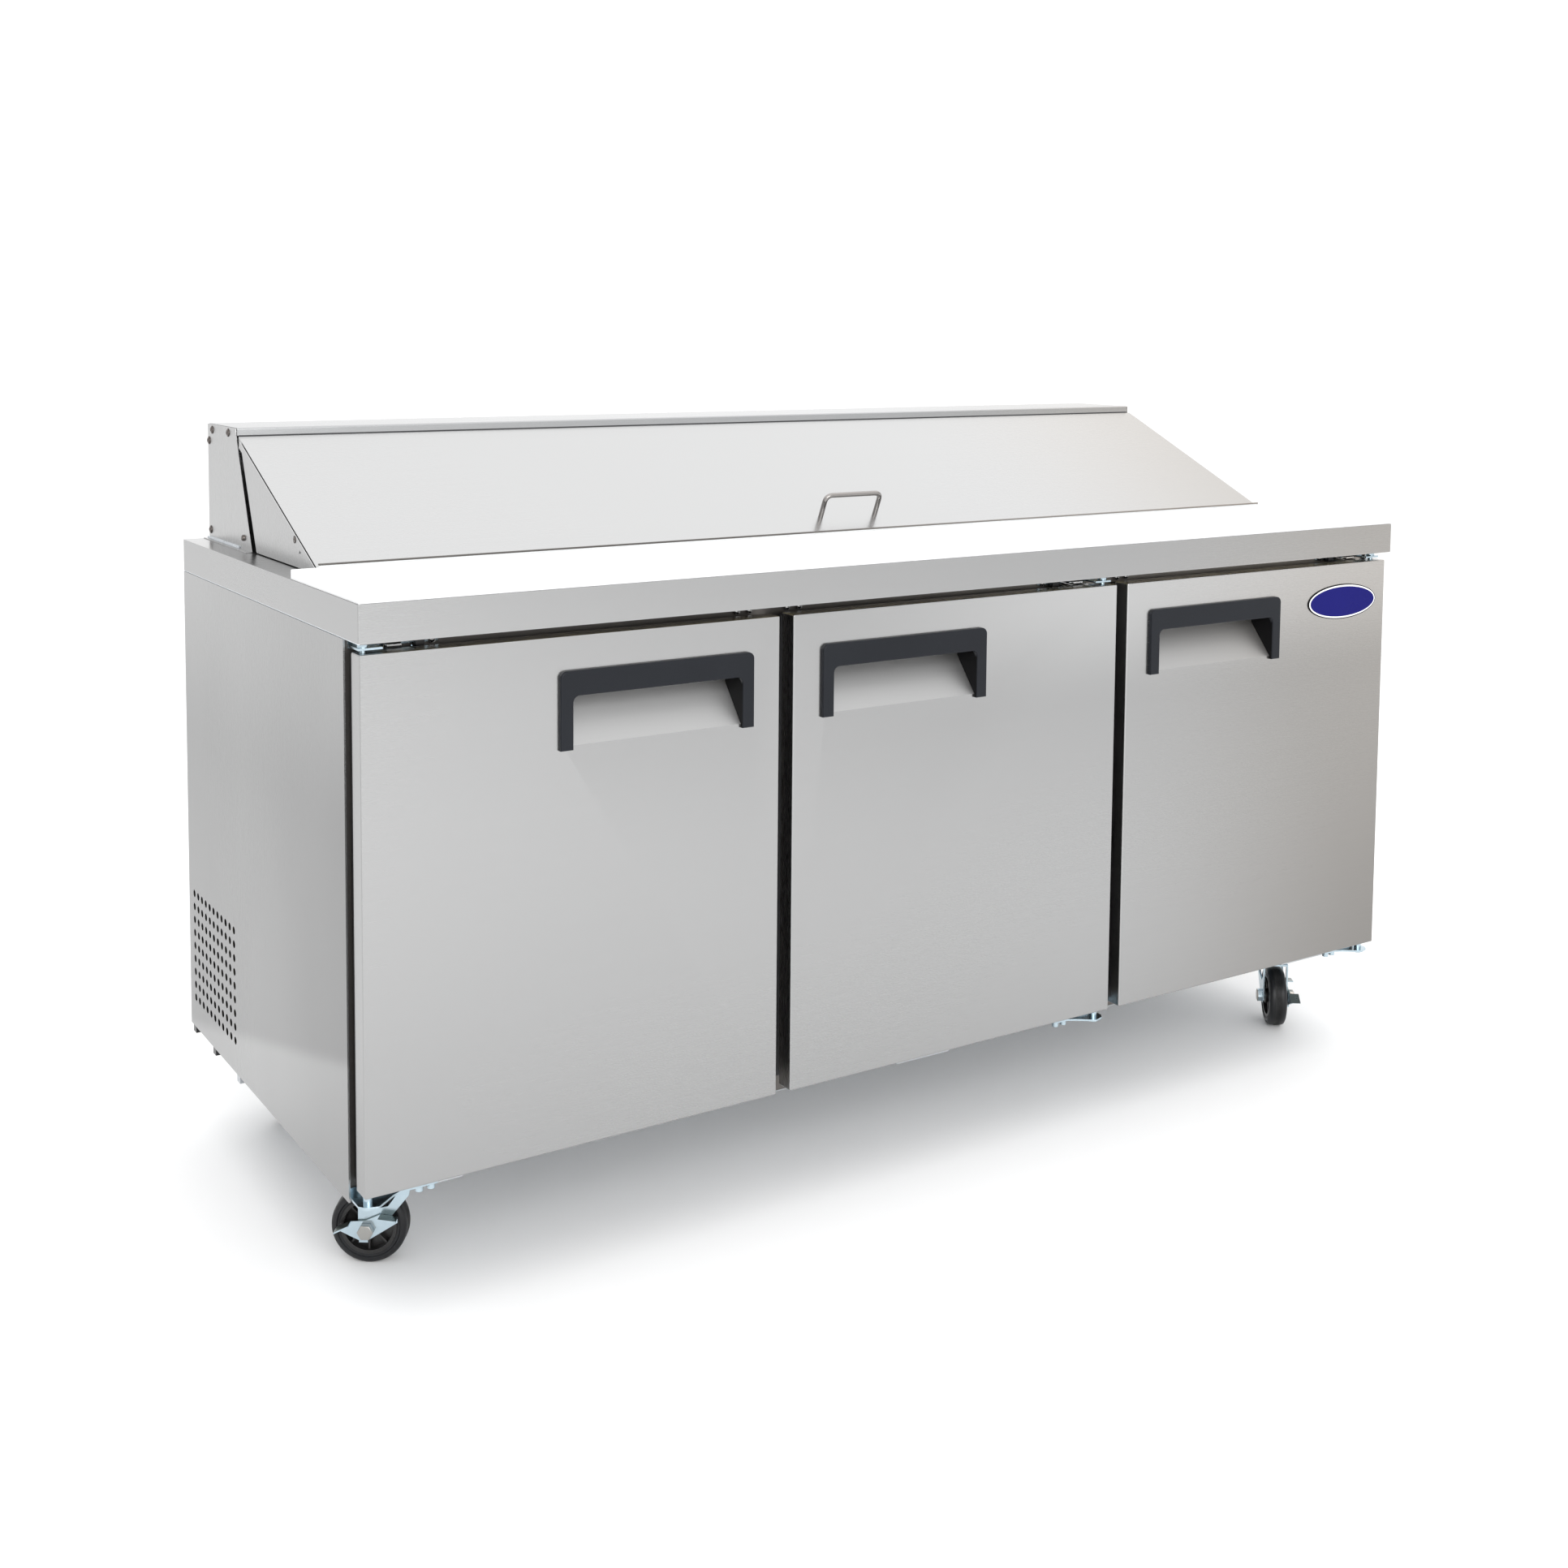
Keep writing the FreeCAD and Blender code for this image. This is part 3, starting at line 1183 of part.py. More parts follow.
def make_refrigeration():
    """Machine bay at the rear left: condenser, fan with motor, and compressor on feet."""
    bay_floor = d.cabinet_low + d.skin
    middle_y = (bay_face + back) / 2
    coil_x = left + 22

    keep(finned("condenser_coil", (coil_x, coil_x + d.condenser_thick),
                (bay_face + 12, back - 14),
                (bay_floor, bay_floor + d.condenser_tall), 16), "condenser")

    shroud_x = coil_x + d.condenser_thick + 6
    plate = box("shroud_plate", (shroud_x, shroud_x + d.coil_wall), (bay_face + 12, back - 14),
                (bay_floor, bay_floor + d.condenser_tall))
    fan_z = bay_floor + 112
    hole = rod("shroud_hole", "x", d.shroud_radius, 8.0, shroud_x - 3, middle_y, fan_z)
    motor_x = shroud_x + 44
    parts = [
        cut("shroud_open", plate, hole),
        rod("fan_motor", "x", 34.0, 50.0, motor_x, middle_y, fan_z),
        rod("fan_shaft", "x", 3.0, motor_x - shroud_x - 6, shroud_x + 6, middle_y, fan_z),
        box("motor_arm_low", (motor_x + 10, motor_x + 14), (middle_y - 8, middle_y + 8),
            (bay_floor, fan_z)),
        box("motor_foot", (shroud_x, motor_x + 14), (middle_y - 8, middle_y + 8),
            (bay_floor, bay_floor + 3)),
    ]
    keep(fuse("shroud", parts), "fan_shroud")
    keep(fan_at("condenser_blades", "x", shroud_x + 22, middle_y, fan_z, 86.0, 20.0, 24.0),
         "condenser_fan")

    body_x = motor_x + 160
    shell = rod("compressor_can", "z", 74.0, 170.0, body_x, middle_y, bay_floor + 22)
    dome = document.addObject("Part::Fillet", "compressor_dome")
    dome.Base = shell
    document.recompute()
    rims = [number for number, edge in enumerate(shell.Shape.Edges, start=1)
            if edge.Curve.TypeId == "Part::GeomCircle"]
    dome.Edges = [(number, 30.0, 30.0) for number in rims]
    feet = box("compressor_feet", (body_x - 90, body_x + 90), (middle_y - 70, middle_y + 70),
               (bay_floor + 16, bay_floor + 30))
    pads = [
        rod("rubber_%d%d" % (i, j), "z", 12.0, 16.0, body_x + 74 * i, middle_y + 54 * j,
            bay_floor)
        for i in (-1, 1) for j in (-1, 1)
    ]
    tubes = [
        rod("suction_stub", "x", 5.0, 60.0, body_x + 60, middle_y + 20, bay_floor + 140),
        rod("discharge_stub", "x", 4.0, 35.0, body_x - 95, middle_y - 20, bay_floor + 120),
    ]
    keep(fuse("compressor_unit", [dome, feet] + pads + tubes), "compressor")


def make_evaporator():
    """Coil block on the back wall under the deck, in a tray, with its fan in front."""
    rear = back_inside - d.skin
    half = d.coil_half
    wall = d.coil_wall
    across = (-half, half)
    along = (rear - d.coil_deep, rear)
    up = (d.coil_low, d.coil_high)
    parts = [
        box("coil_back", across, (rear - wall, rear), up),
        box("coil_tray", across, along, (up[0], up[0] + wall)),
        box("coil_cover", across, along, (up[1] - wall, up[1])),
        box("coil_side_left", (-half, -half + wall), along, up),
        box("coil_side_right", (half - wall, half), along, up),
    ]
    rows = 5
    row_pitch = 34.0
    for row in range(rows):
        parts.append(rod("coil_tube_%d" % row, "x", 4.5, 2 * half, -half, rear - 26,
                         up[0] + 22 + row_pitch * row))
    fins = 24
    for number in range(1, fins):
        start = -half + 2 * half * (number / fins)
        parts.append(box("coil_fin_%d" % number, (start, start + 1), (rear - 50, rear - 3),
                         (up[0] + 6, up[1] - 6)))
    face_y = along[0]
    face = box("coil_face", across, (face_y, face_y + wall), up)
    hole = rod("coil_face_hole", "y", 74.0, 6.0, 0, face_y - 2, d.coil_axis)
    parts.append(cut("coil_face_open", face, hole))
    parts.append(rod("coil_shaft", "y", 3.0, 60.0, 0, face_y - 24, d.coil_axis))
    keep(fuse("evaporator_unit", parts), "evaporator")
    keep(fan_at("evaporator_blades", "y", 0, face_y - 14, d.coil_axis, 66.0, 16.0, 18.0),
         "evaporator_fan")


def make_controls():
    """Thermostat box in the machine bay and the mains cord's gland in the back sheet."""
    bay_floor = d.cabinet_low + d.skin
    case = box("thermostat_case", (left + 560, left + 660), (back - 60, back - 12),
               (bay_floor, bay_floor + 70))
    knob = rod("thermostat_knob", "z", 14.0, 14.0, left + 610, back - 36, bay_floor + 70)
    keep(fuse("thermostat", [case, knob]), "controller")
    gland = rod("gland_body", "y", 11.0, 16.0, left + 700, back - d.skin - 16, 230.0)
    bore = rod("gland_bore", "y", 5.0, 20.0, left + 700, back - d.skin - 18, 230.0)
    keep(cut("gland", gland, bore), "cord_gland")


# --- casters -----------------------------------------------------------------------------

def set_down(thing, spot, angle):
    """Move a caster piece from its own frame to its corner of the cabinet."""
    thing.Placement = Placement(Vector(), Rotation(Vector(0, 0, 1), angle.number))
    bind(thing, "Placement.Rotation.Angle", angle)
    place(thing, spot[0], spot[1], 0)


def make_tyre(name, spot, angle):
    """Rubber tread with rounded shoulders, turned about the axle."""
    body = body_of("tyre_" + name)
    sketch = sketch_on(body, "tyre_section_" + name, "x", -d.trail)
    half = d.wheel_wide / 2
    polygon(sketch, [
        (-half, d.wheel_radius + d.tyre_inner), (half, d.wheel_radius + d.tyre_inner),
        (half, 2 * d.wheel_radius - 5), (half - 5, 2 * d.wheel_radius),
        (5 - half, 2 * d.wheel_radius), (-half, 2 * d.wheel_radius - 5),
    ])
    axle = sketch.addGeometry(
        Part.LineSegment(Vector(-10, d.wheel_radius.number, 0),
                         Vector(10, d.wheel_radius.number, 0)), True)
    hold(sketch, axle, 1, -10.0, d.wheel_radius)
    hold(sketch, axle, 2, 10.0, d.wheel_radius)
    turned = body.newObject("PartDesign::Revolution", "tyre_turn_" + name)
    turned.Profile = sketch
    turned.ReferenceAxis = (sketch, ["Axis0"])
    turned.Angle = 360
    set_down(body, spot, angle)
    keep(body, "caster_tyre_" + name)


def make_hub(name, spot, angle):
    """Moulded wheel centre: rim, web, boss and eight ribs, bored for the axle."""
    height = d.wheel_radius
    half = d.wheel_wide / 2 - 1
    rim = cut("rim_" + name,
              rod("rim_out_" + name, "y", d.tyre_inner, 2 * half, -d.trail, -half, height),
              rod("rim_in_" + name, "y", d.tyre_inner - 5, 2 * half + 2, -d.trail,
                  -half - 1, height))
    boss = rod("boss_" + name, "y", 12.5, 2 * half + 4, -d.trail, -half - 2, height)
    web = rod("web_" + name, "y", d.tyre_inner - 4, 6.0, -d.trail, -3.0, height)
    ribs = []
    for number in range(4):
        rib = document.addObject("Part::Box", "rib_%s_%d" % (name, number))
        rib.Length = 70.0
        rib.Width = 22.0
        rib.Height = 3.0
        turn = Rotation(Vector(0, 1, 0), 45.0 * number)
        corner = turn.multVec(Vector(-35.0, -11.0, -1.5))
        rib.Placement = Placement(Vector(), turn)
        place(rib, corner.x - d.trail, corner.y, corner.z + height)
        ribs.append(rib)
    bore = rod("hub_bore_" + name, "y", d.axle_radius + d.pin_play, 50.0, -d.trail, -25.0,
               height)
    hub = cut("hub_" + name, fuse("hub_solid_" + name, [rim, boss, web] + ribs), bore)
    set_down(hub, spot, angle)
    keep(hub, "caster_hub_" + name)


def hexagon(name, size, y_low, y_high, x, z):
    """A hexagonal head or nut along Y."""
    half = size / 2
    point = half / 0.8660254
    body = body_of(name)
    pad(body, name + "_pad", "y", y_low, y_high, [
        (x - point, z), (x - point / 2, z - half), (x + point / 2, z - half),
        (x + point, z), (x + point / 2, z + half), (x - point / 2, z + half),
    ])
    return body


def make_fork(name, spot, angle, braked):
    """Pressed fork with a notch in each leg, raceway and kingpin, axle bolt and nut."""
    height = d.wheel_radius
    gap = d.leg_gap
    outer = d.leg_gap + d.leg_sheet
    crown_top = d.crown_low + d.leg_sheet
    axle = -d.trail
    crown_end = as_size(26.0)
    parts = []
    for side, word in ((-1, "a"), (1, "b")):
        low, high = (gap, outer) if side > 0 else (-outer, -gap)
        leg = body_of("leg_%s_%s" % (name, word))
        pad(leg, "leg_pad_%s_%s" % (name, word), "y", low, high, [
            (axle - 12, height - 4), (axle - 6, height - 12),
            (axle + 7, height - 12), (axle + 14, height - 3), (axle + 35, height + 21),
            (axle + 56, height + 47), (crown_end, crown_top), (axle - 12, crown_top),
        ])
        pocket(leg, "leg_notch_%s_%s" % (name, word), "y", low - 1, high + 1, [
            (axle - 6, d.crown_low), (axle - 6, height + 36), (axle + 4, height + 26),
            (axle + 28, height + 31.5), (axle + 35, height + 41), (axle + 45, d.crown_low),
        ])
        parts.append(leg)
    parts += [
        box("crown_" + name, (axle - 12, crown_end), (-outer, outer),
            (d.crown_low, crown_top)),
        rod("raceway_" + name, "z", 27.0, 7.0, 0, 0, crown_top),
        rod("kingpin_" + name, "z", d.kingpin, 18.0, 0, 0, crown_top),
        rod("axle_" + name, "y", d.axle_radius, 2 * outer + 14, axle, -outer - 7, height),
        hexagon("nut_" + name, d.hex_size, outer, outer + d.hex_thick, axle, height),
    ]
    head = -outer - 4 if braked else -outer
    parts.append(hexagon("head_" + name, d.hex_size, head - d.hex_thick, head, axle, height))
    fork = fuse("fork_" + name, parts)
    set_down(fork, spot, angle)
    keep(fork, "caster_fork_" + name)


def make_brake(name, spot, angle):
    """Foot brake: a bow-tie plate on the axle with a folded tread at each end."""
    height = d.wheel_radius
    outer = d.leg_gap + d.leg_sheet
    low = -outer - 3.5
    high = -outer - 0.5
    centre = -d.trail
    body = body_of("bow_" + name)
    pad(body, "bow_pad_" + name, "y", low, high, [
        (centre - 41.5, height + 1), (centre - 21, height - 9), (centre - 10, height - 14),
        (centre - 10, height - 17), (centre + 2, height - 17), (centre + 2, height - 14),
        (centre + 41.5, height + 11), (centre + 41.5, height + 18),
        (centre + 17, height + 21), (centre - 2, height + 12.5), (centre - 21, height + 11.5),
    ], [(centre, height, d.axle_radius + 0.3)])
    near = body_of("near_" + name)
    pad(near, "near_tread_" + name, "y", low - 14, high, [
        (centre - 41, height + 1.5), (centre - 38, height + 3.6), (centre - 21, height + 11.5),
        (centre - 21, height + 9.5), (centre - 38, height + 1.4), (centre - 39.5, height + 0.4),
    ])
    far = body_of("far_" + name)
    pad(far, "far_tread_" + name, "y", low - 12, high, [
        (centre + 18, height + 19), (centre + 41.5, height + 16.5),
        (centre + 41.5, height + 18.5), (centre + 18, height + 21),
    ])
    brake = fuse("brake_" + name, [body, near, far])
    set_down(brake, spot, angle)
    keep(brake, "caster_brake_" + name)


def make_casters():
    plates = []
    for name, side, end in CASTERS:
        spot = caster_spot(side, end)
        angle = getattr(d, "swivel_" + name)
        top = d.plate_low + d.plate_thick
        plate = box("plate_" + name,
                    (spot[0] - d.mount_half_wide, spot[0] + d.mount_half_wide),
                    (spot[1] - d.mount_half_deep, spot[1] + d.mount_half_deep),
                    (d.plate_low, top))
        cup = rod("cup_" + name, "z", 24.0, 6.5, spot[0], spot[1], d.plate_low - 6.5)
        bolts = [
            rod("plate_bolt_%s_%d%d" % (name, i, j), "z", 6.0, 5.0,
                spot[0] + (d.mount_half_wide - 10) * i,
                spot[1] + (d.mount_half_deep - 10) * j, d.plate_low - 5)
            for i in (-1, 1) for j in (-1, 1)
        ]
        bore = rod("king_bore_" + name, "z", d.kingpin + d.pin_play, 20.0, spot[0], spot[1],
                   d.plate_low - 8)
        plates.append(cut("plate_bored_" + name, fuse("plate_solid_" + name,
                                                      [plate, cup] + bolts), bore))
        braked = end < 0
        make_fork(name, spot, angle, braked)
        make_hub(name, spot, angle)
        make_tyre(name, spot, angle)
        if braked:
            make_brake(name, spot, angle)
    keep(group("plates", plates), "caster_plates")


make_worktop()
make_board()
make_side_panels()
make_rear_panel()
make_base_frame()
make_face_frame()
make_liner()
make_insulation()
make_shelves()
make_shelf_supports()
make_pans()
make_pan_bars()
make_hood()
make_lid()
for door_word, (door_start, door_end, door_hinge) in zip(DOOR_WORDS, door_spans()):
    make_door(door_word, door_start, door_end, door_hinge)
make_badge(door_spans()[2][1])
make_hinges()
make_screws()
make_refrigeration()
make_evaporator()
make_controls()
make_casters()
document.recompute()

for thing in document.Objects:
    if "Invalid" in thing.State or "Error" in thing.State:
        raise RuntimeError("%s failed: %s" % (thing.Name, thing.State))
os.makedirs("parts", exist_ok=True)
for node, thing in nodes.items():
    shape = thing.Shape
    if shape.isNull() or not shape.isValid():
        raise RuntimeError(node + " has no valid shape")
    shape.exportStep("parts/" + node + ".step")
print(len(nodes), "nodes written")
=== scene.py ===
import json
import math

import bmesh
import bpy
from mathutils import Matrix, Vector

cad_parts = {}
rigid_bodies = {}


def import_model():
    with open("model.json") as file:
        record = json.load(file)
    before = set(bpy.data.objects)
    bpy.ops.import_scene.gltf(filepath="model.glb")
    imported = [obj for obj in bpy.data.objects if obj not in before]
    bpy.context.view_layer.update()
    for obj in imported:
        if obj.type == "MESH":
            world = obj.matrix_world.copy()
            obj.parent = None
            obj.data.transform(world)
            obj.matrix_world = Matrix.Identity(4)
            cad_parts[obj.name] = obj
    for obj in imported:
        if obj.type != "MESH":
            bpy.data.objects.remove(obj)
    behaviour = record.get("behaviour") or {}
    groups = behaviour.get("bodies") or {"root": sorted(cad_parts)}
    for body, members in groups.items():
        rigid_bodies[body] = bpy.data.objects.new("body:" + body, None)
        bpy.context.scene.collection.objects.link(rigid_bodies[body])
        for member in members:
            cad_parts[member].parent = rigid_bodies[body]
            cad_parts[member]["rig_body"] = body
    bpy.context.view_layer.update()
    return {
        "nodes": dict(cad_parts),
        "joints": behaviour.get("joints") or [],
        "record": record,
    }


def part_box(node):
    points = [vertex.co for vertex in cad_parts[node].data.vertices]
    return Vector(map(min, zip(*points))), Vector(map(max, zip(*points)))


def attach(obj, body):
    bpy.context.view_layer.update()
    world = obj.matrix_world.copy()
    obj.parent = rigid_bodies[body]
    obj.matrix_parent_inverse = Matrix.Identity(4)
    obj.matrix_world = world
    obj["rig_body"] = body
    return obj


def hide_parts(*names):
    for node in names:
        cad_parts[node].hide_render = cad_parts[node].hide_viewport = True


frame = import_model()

MM = 0.001
HALF_WIDE = 923.5
HALF_DEEP = 381.0


def behind(distance):
    """The place of a plane some millimetres behind the worktop's front edge."""
    return (distance - HALF_DEEP) * MM


def spot(x, distance, z):
    """A point from millimetres: across, behind the worktop's front edge, and up."""
    return Vector((x * MM, behind(distance), z * MM))


# --- materials ---------------------------------------------------------------------------

class Finish:
    """A node material with a Principled shader and short ways to add nodes."""

    def __init__(self, name, colour, metallic, roughness, **sockets):
        self.material = bpy.data.materials.new(name)
        self.material.use_nodes = True
        self.tree = self.material.node_tree
        self.shader = self.tree.nodes["Principled BSDF"]
        self.shader.inputs["Base Color"].default_value = (*colour, 1)
        self.shader.inputs["Metallic"].default_value = metallic
        self.shader.inputs["Roughness"].default_value = roughness
        for socket, value in sockets.items():
            self.shader.inputs[socket.replace("_", " ")].default_value = value
        self.material.diffuse_color = (*colour, 1)

    def add(self, kind, inputs=None, **settings):
        item = self.tree.nodes.new("ShaderNode" + kind)
        for key, value in settings.items():
            setattr(item, key, value)
        for key, value in (inputs or {}).items():
            if isinstance(value, bpy.types.NodeSocket):
                self.tree.links.new(value, item.inputs[key])
            else:
                item.inputs[key].default_value = value
        return item

    def place(self):
        """The part's own coordinates."""
        return self.add("TexCoord").outputs["Object"]

    def noise(self, scale, stretch=(1, 1, 1), detail=3.0, rough=0.55, where=None):
        mapped = self.add("Mapping", {"Vector": where or self.place(), "Scale": stretch})
        return self.add("TexNoise", {"Vector": mapped.outputs[0], "Scale": scale,
                                     "Detail": detail, "Roughness": rough}).outputs["Fac"]

    def span(self, value, low, high, start=0.3, end=0.7):
        """A straight change from low to high while the value goes from start to end."""
        return self.add("MapRange", {"Value": value, "From Min": start, "From Max": end,
                                     "To Min": low, "To Max": high}).outputs["Result"]

    def ramp(self, value, start, end, low, high):
        """The same as span with soft ends."""
        return self.add("MapRange", {"Value": value, "From Min": start, "From Max": end,
                                     "To Min": low, "To Max": high},
                        interpolation_type="SMOOTHSTEP").outputs["Result"]

    def sum(self, a, b, kind="ADD"):
        """Two values added, or joined by another kind of Math node."""
        return self.add("Math", {0: a, 1: b}, operation=kind).outputs[0]

    def wire(self, value, socket):
        self.tree.links.new(value, self.shader.inputs[socket])

    def bump(self, height, strength, distance):
        item = self.add("Bump", {"Height": height, "Strength": strength,
                                 "Distance": distance * MM})
        self.wire(item.outputs[0], "Normal")

    def edge_mask(self, radius):
        """1 near a convex or concave edge, 0 on flat ground."""
        bevel = self.add("Bevel", {"Radius": radius * MM}, samples=4)
        flat = self.add("NewGeometry").outputs["Normal"]
        dot = self.add("VectorMath", {0: bevel.outputs[0], 1: flat}, operation="DOT_PRODUCT")
        return self.span(dot.outputs["Value"], 1.0, 0.0, 0.9, 0.998)


def door_painted_light(item, parts):
    """Painted light and shade: the doors are painted brighter along the top and duller towards
    the lower right.
    """
    right = item.ramp(parts.outputs["X"], 0.2, 1.0, 0.0, 1.0)
    down = item.ramp(parts.outputs["Z"], 0.15, 0.75, 1.0, 0.0)
    crown = item.ramp(parts.outputs["Z"], 0.66, 0.85, 0.0, 1.0)
    lift = item.ramp(parts.outputs["X"], -0.3, 0.3, 0.035, 0.33)
    share = item.sum(item.sum(down, 0.22, "MULTIPLY"), 0.08)
    dull = item.sum(right, share, "MULTIPLY")
    bright = item.sum(item.sum(crown, lift, "MULTIPLY"), 0.845)
    return item.sum(bright, dull, "SUBTRACT")


def side_painted_light(item, parts):
    """Painted light and shade: the side sheets are duller in the middle than at the top and the
    foot; the bright band at the foot and the soft mottling are painted reflections.
    """
    top = item.ramp(parts.outputs["Z"], 0.60, 0.88, 0.0, 0.27)
    tilted = item.sum(parts.outputs["Z"], item.sum(parts.outputs["Y"], 0.25, "MULTIPLY"))
    foot = item.ramp(tilted, 0.235, 0.262, 0.24, 0.0)
    ahead = item.ramp(parts.outputs["Y"], -0.33, 0.35, -0.05, 0.03)
    patch = item.noise(1.0, (3.0, 3.0, 1.6), 2.0, 0.5)
    painted_reflection_mottle = item.span(patch, -0.035, 0.035)
    return item.sum(item.sum(item.sum(0.555, item.sum(top, foot)), ahead), painted_reflection_mottle)


def apron_painted_shade(item, parts):
    """Painted shade: the apron is a shade duller to the right."""
    return item.ramp(parts.outputs["X"], 0.1, 1.0, 0.91, 0.89)


TOP_RAIL_FROM, TOP_RAIL_TO = 0.8448, 0.8456


def frame_painted_light(item, parts):
    """Painted light: the frame's top rail is painted brighter towards the right."""
    rail = item.ramp(parts.outputs["Z"], TOP_RAIL_FROM, TOP_RAIL_TO, 0.0, 1.0)
    right = item.ramp(parts.outputs["X"], -0.4, 0.5, 0.1, 1.7)
    return item.sum(item.sum(rail, right, "MULTIPLY"), 1.0)


# how fine the brushing's grain, streaks and clouds are along it and in the two ways across it
GRAIN = (22, 1500, 1500)
STREAK = (2.2, 260, 260)
CLOUD = (0.8, 1.3, 1.3)
# the steel turns warmer from the first place to the second, in metres to the right
WARM_ACROSS = (0.25, 1.0)
WARM_GREEN, WARM_BLUE = 0.955, 0.905


def steel(name, colour, rough, side_grain="z", blotch=0.035, wear=0.05, fine=1.0, fall=None):
    """Brushed sheet: grain along X, or along side_grain on faces that look along X."""
    item = Finish(name, colour, 1.0, rough)
    coord = item.add("TexCoord")
    here = coord.outputs["Object"]
    facing = item.add("SeparateXYZ", {0: coord.outputs["Normal"]}).outputs["X"]
    sideways = item.sum(item.add("Math", {0: facing}, operation="ABSOLUTE").outputs[0],
                        0.7, "GREATER_THAN")
    parts = item.add("SeparateXYZ", {0: here})
    if side_grain == "z":
        order = (parts.outputs["Z"], parts.outputs["Y"], parts.outputs["X"])
    else:
        order = (parts.outputs["Y"], parts.outputs["X"], parts.outputs["Z"])
    turned = item.add("CombineXYZ", dict(enumerate(order))).outputs[0]
    mixed = item.add("Mix", {}, data_type="VECTOR")
    item.tree.links.new(sideways, mixed.inputs[0])
    item.tree.links.new(here, mixed.inputs[4])
    item.tree.links.new(turned, mixed.inputs[5])
    along = mixed.outputs[1]
    grain = item.noise(1.0, GRAIN, 2.0, 0.6, along)
    streak = item.noise(1.0, STREAK, 2.0, 0.5, along)
    cloud = item.noise(1.0, CLOUD, 1.0, 0.4, along)
    tone = item.sum(item.span(streak, -0.004 * fine, 0.004 * fine),
                    item.span(cloud, -blotch, blotch))
    tone = item.sum(tone, item.span(grain, -0.007 * fine, 0.007 * fine))
    # fall paints the sheet's light and shade into its colour
    level = item.sum(tone, fall(item, parts) if fall else 1.0)
    warm = item.add("CombineXYZ", {
        0: 1.0, 1: item.ramp(parts.outputs["X"], *WARM_ACROSS, 1.0, WARM_GREEN),
        2: item.ramp(parts.outputs["X"], *WARM_ACROSS, 1.0, WARM_BLUE)})
    tinted = item.add("VectorMath", {0: colour, 1: warm.outputs[0]}, operation="MULTIPLY")
    scaled = item.add("VectorMath", {0: tinted.outputs[0], "Scale": level}, operation="SCALE")
    item.wire(scaled.outputs[0], "Base Color")
    gloss = item.sum(item.span(cloud, rough - wear, rough + wear),
                     item.span(grain, -0.02, 0.02))
    item.wire(gloss, "Roughness")
    height = item.sum(item.span(grain, 0, 0.8), item.span(streak, 0, 0.2))
    item.bump(height, 0.012 * fine, 0.02)
    return item.material


def zinc(name, colour, rough, spangle=60.0):
    """Zinc plate: faint crystal patches and scuffs."""
    item = Finish(name, colour, 1.0, rough)
    cells = item.add("TexVoronoi", {"Vector": item.place(), "Scale": spangle})
    patch = item.span(cells.outputs["Color"], 0.96, 1.03, 0.0, 1.0)
    scuff = item.noise(90.0, (1, 1, 1), 3.0)
    level = item.sum(patch, item.span(scuff, -0.03, 0.03))
    scaled = item.add("VectorMath", {0: colour, "Scale": level}, operation="SCALE")
    item.wire(scaled.outputs[0], "Base Color")
    item.wire(item.sum(item.span(scuff, rough - 0.04, rough + 0.06),
                       item.span(patch, -0.02, 0.02, 0.96, 1.03)), "Roughness")
    item.bump(scuff, 0.06, 0.05)
    return item.material


def plastic(name, colour, rough, grain=900.0, depth=0.06, wear=1.35, edge=2.0, tone=0.05,
            **sockets):
    """Moulded plastic: fine texture, cloudy gloss, and edges made lighter in patches."""
    item = Finish(name, colour, 0.0, rough, **sockets)
    texture = item.noise(grain, (1, 1, 1), 2.0)
    cloud = item.noise(9.0, (1, 1, 1), 4.0)
    level = item.sum(item.span(cloud, 1 - tone, 1 + tone), item.span(texture, -tone, tone))
    scaled = item.add("VectorMath", {0: colour, "Scale": level}, operation="SCALE")
    if edge:
        mask = item.sum(item.edge_mask(edge), item.span(cloud, 0.1, 0.9), "MULTIPLY")
        edge_lightened = item.add("VectorMath", {0: scaled.outputs[0], "Scale":
                                       item.span(mask, 1.0, wear, 0.0, 1.0)},
                        operation="SCALE")
        item.wire(edge_lightened.outputs[0], "Base Color")
    else:
        item.wire(scaled.outputs[0], "Base Color")
    item.wire(item.span(cloud, rough - 0.06, rough + 0.06), "Roughness")
    item.bump(texture, 0.25, depth)
    return item.material


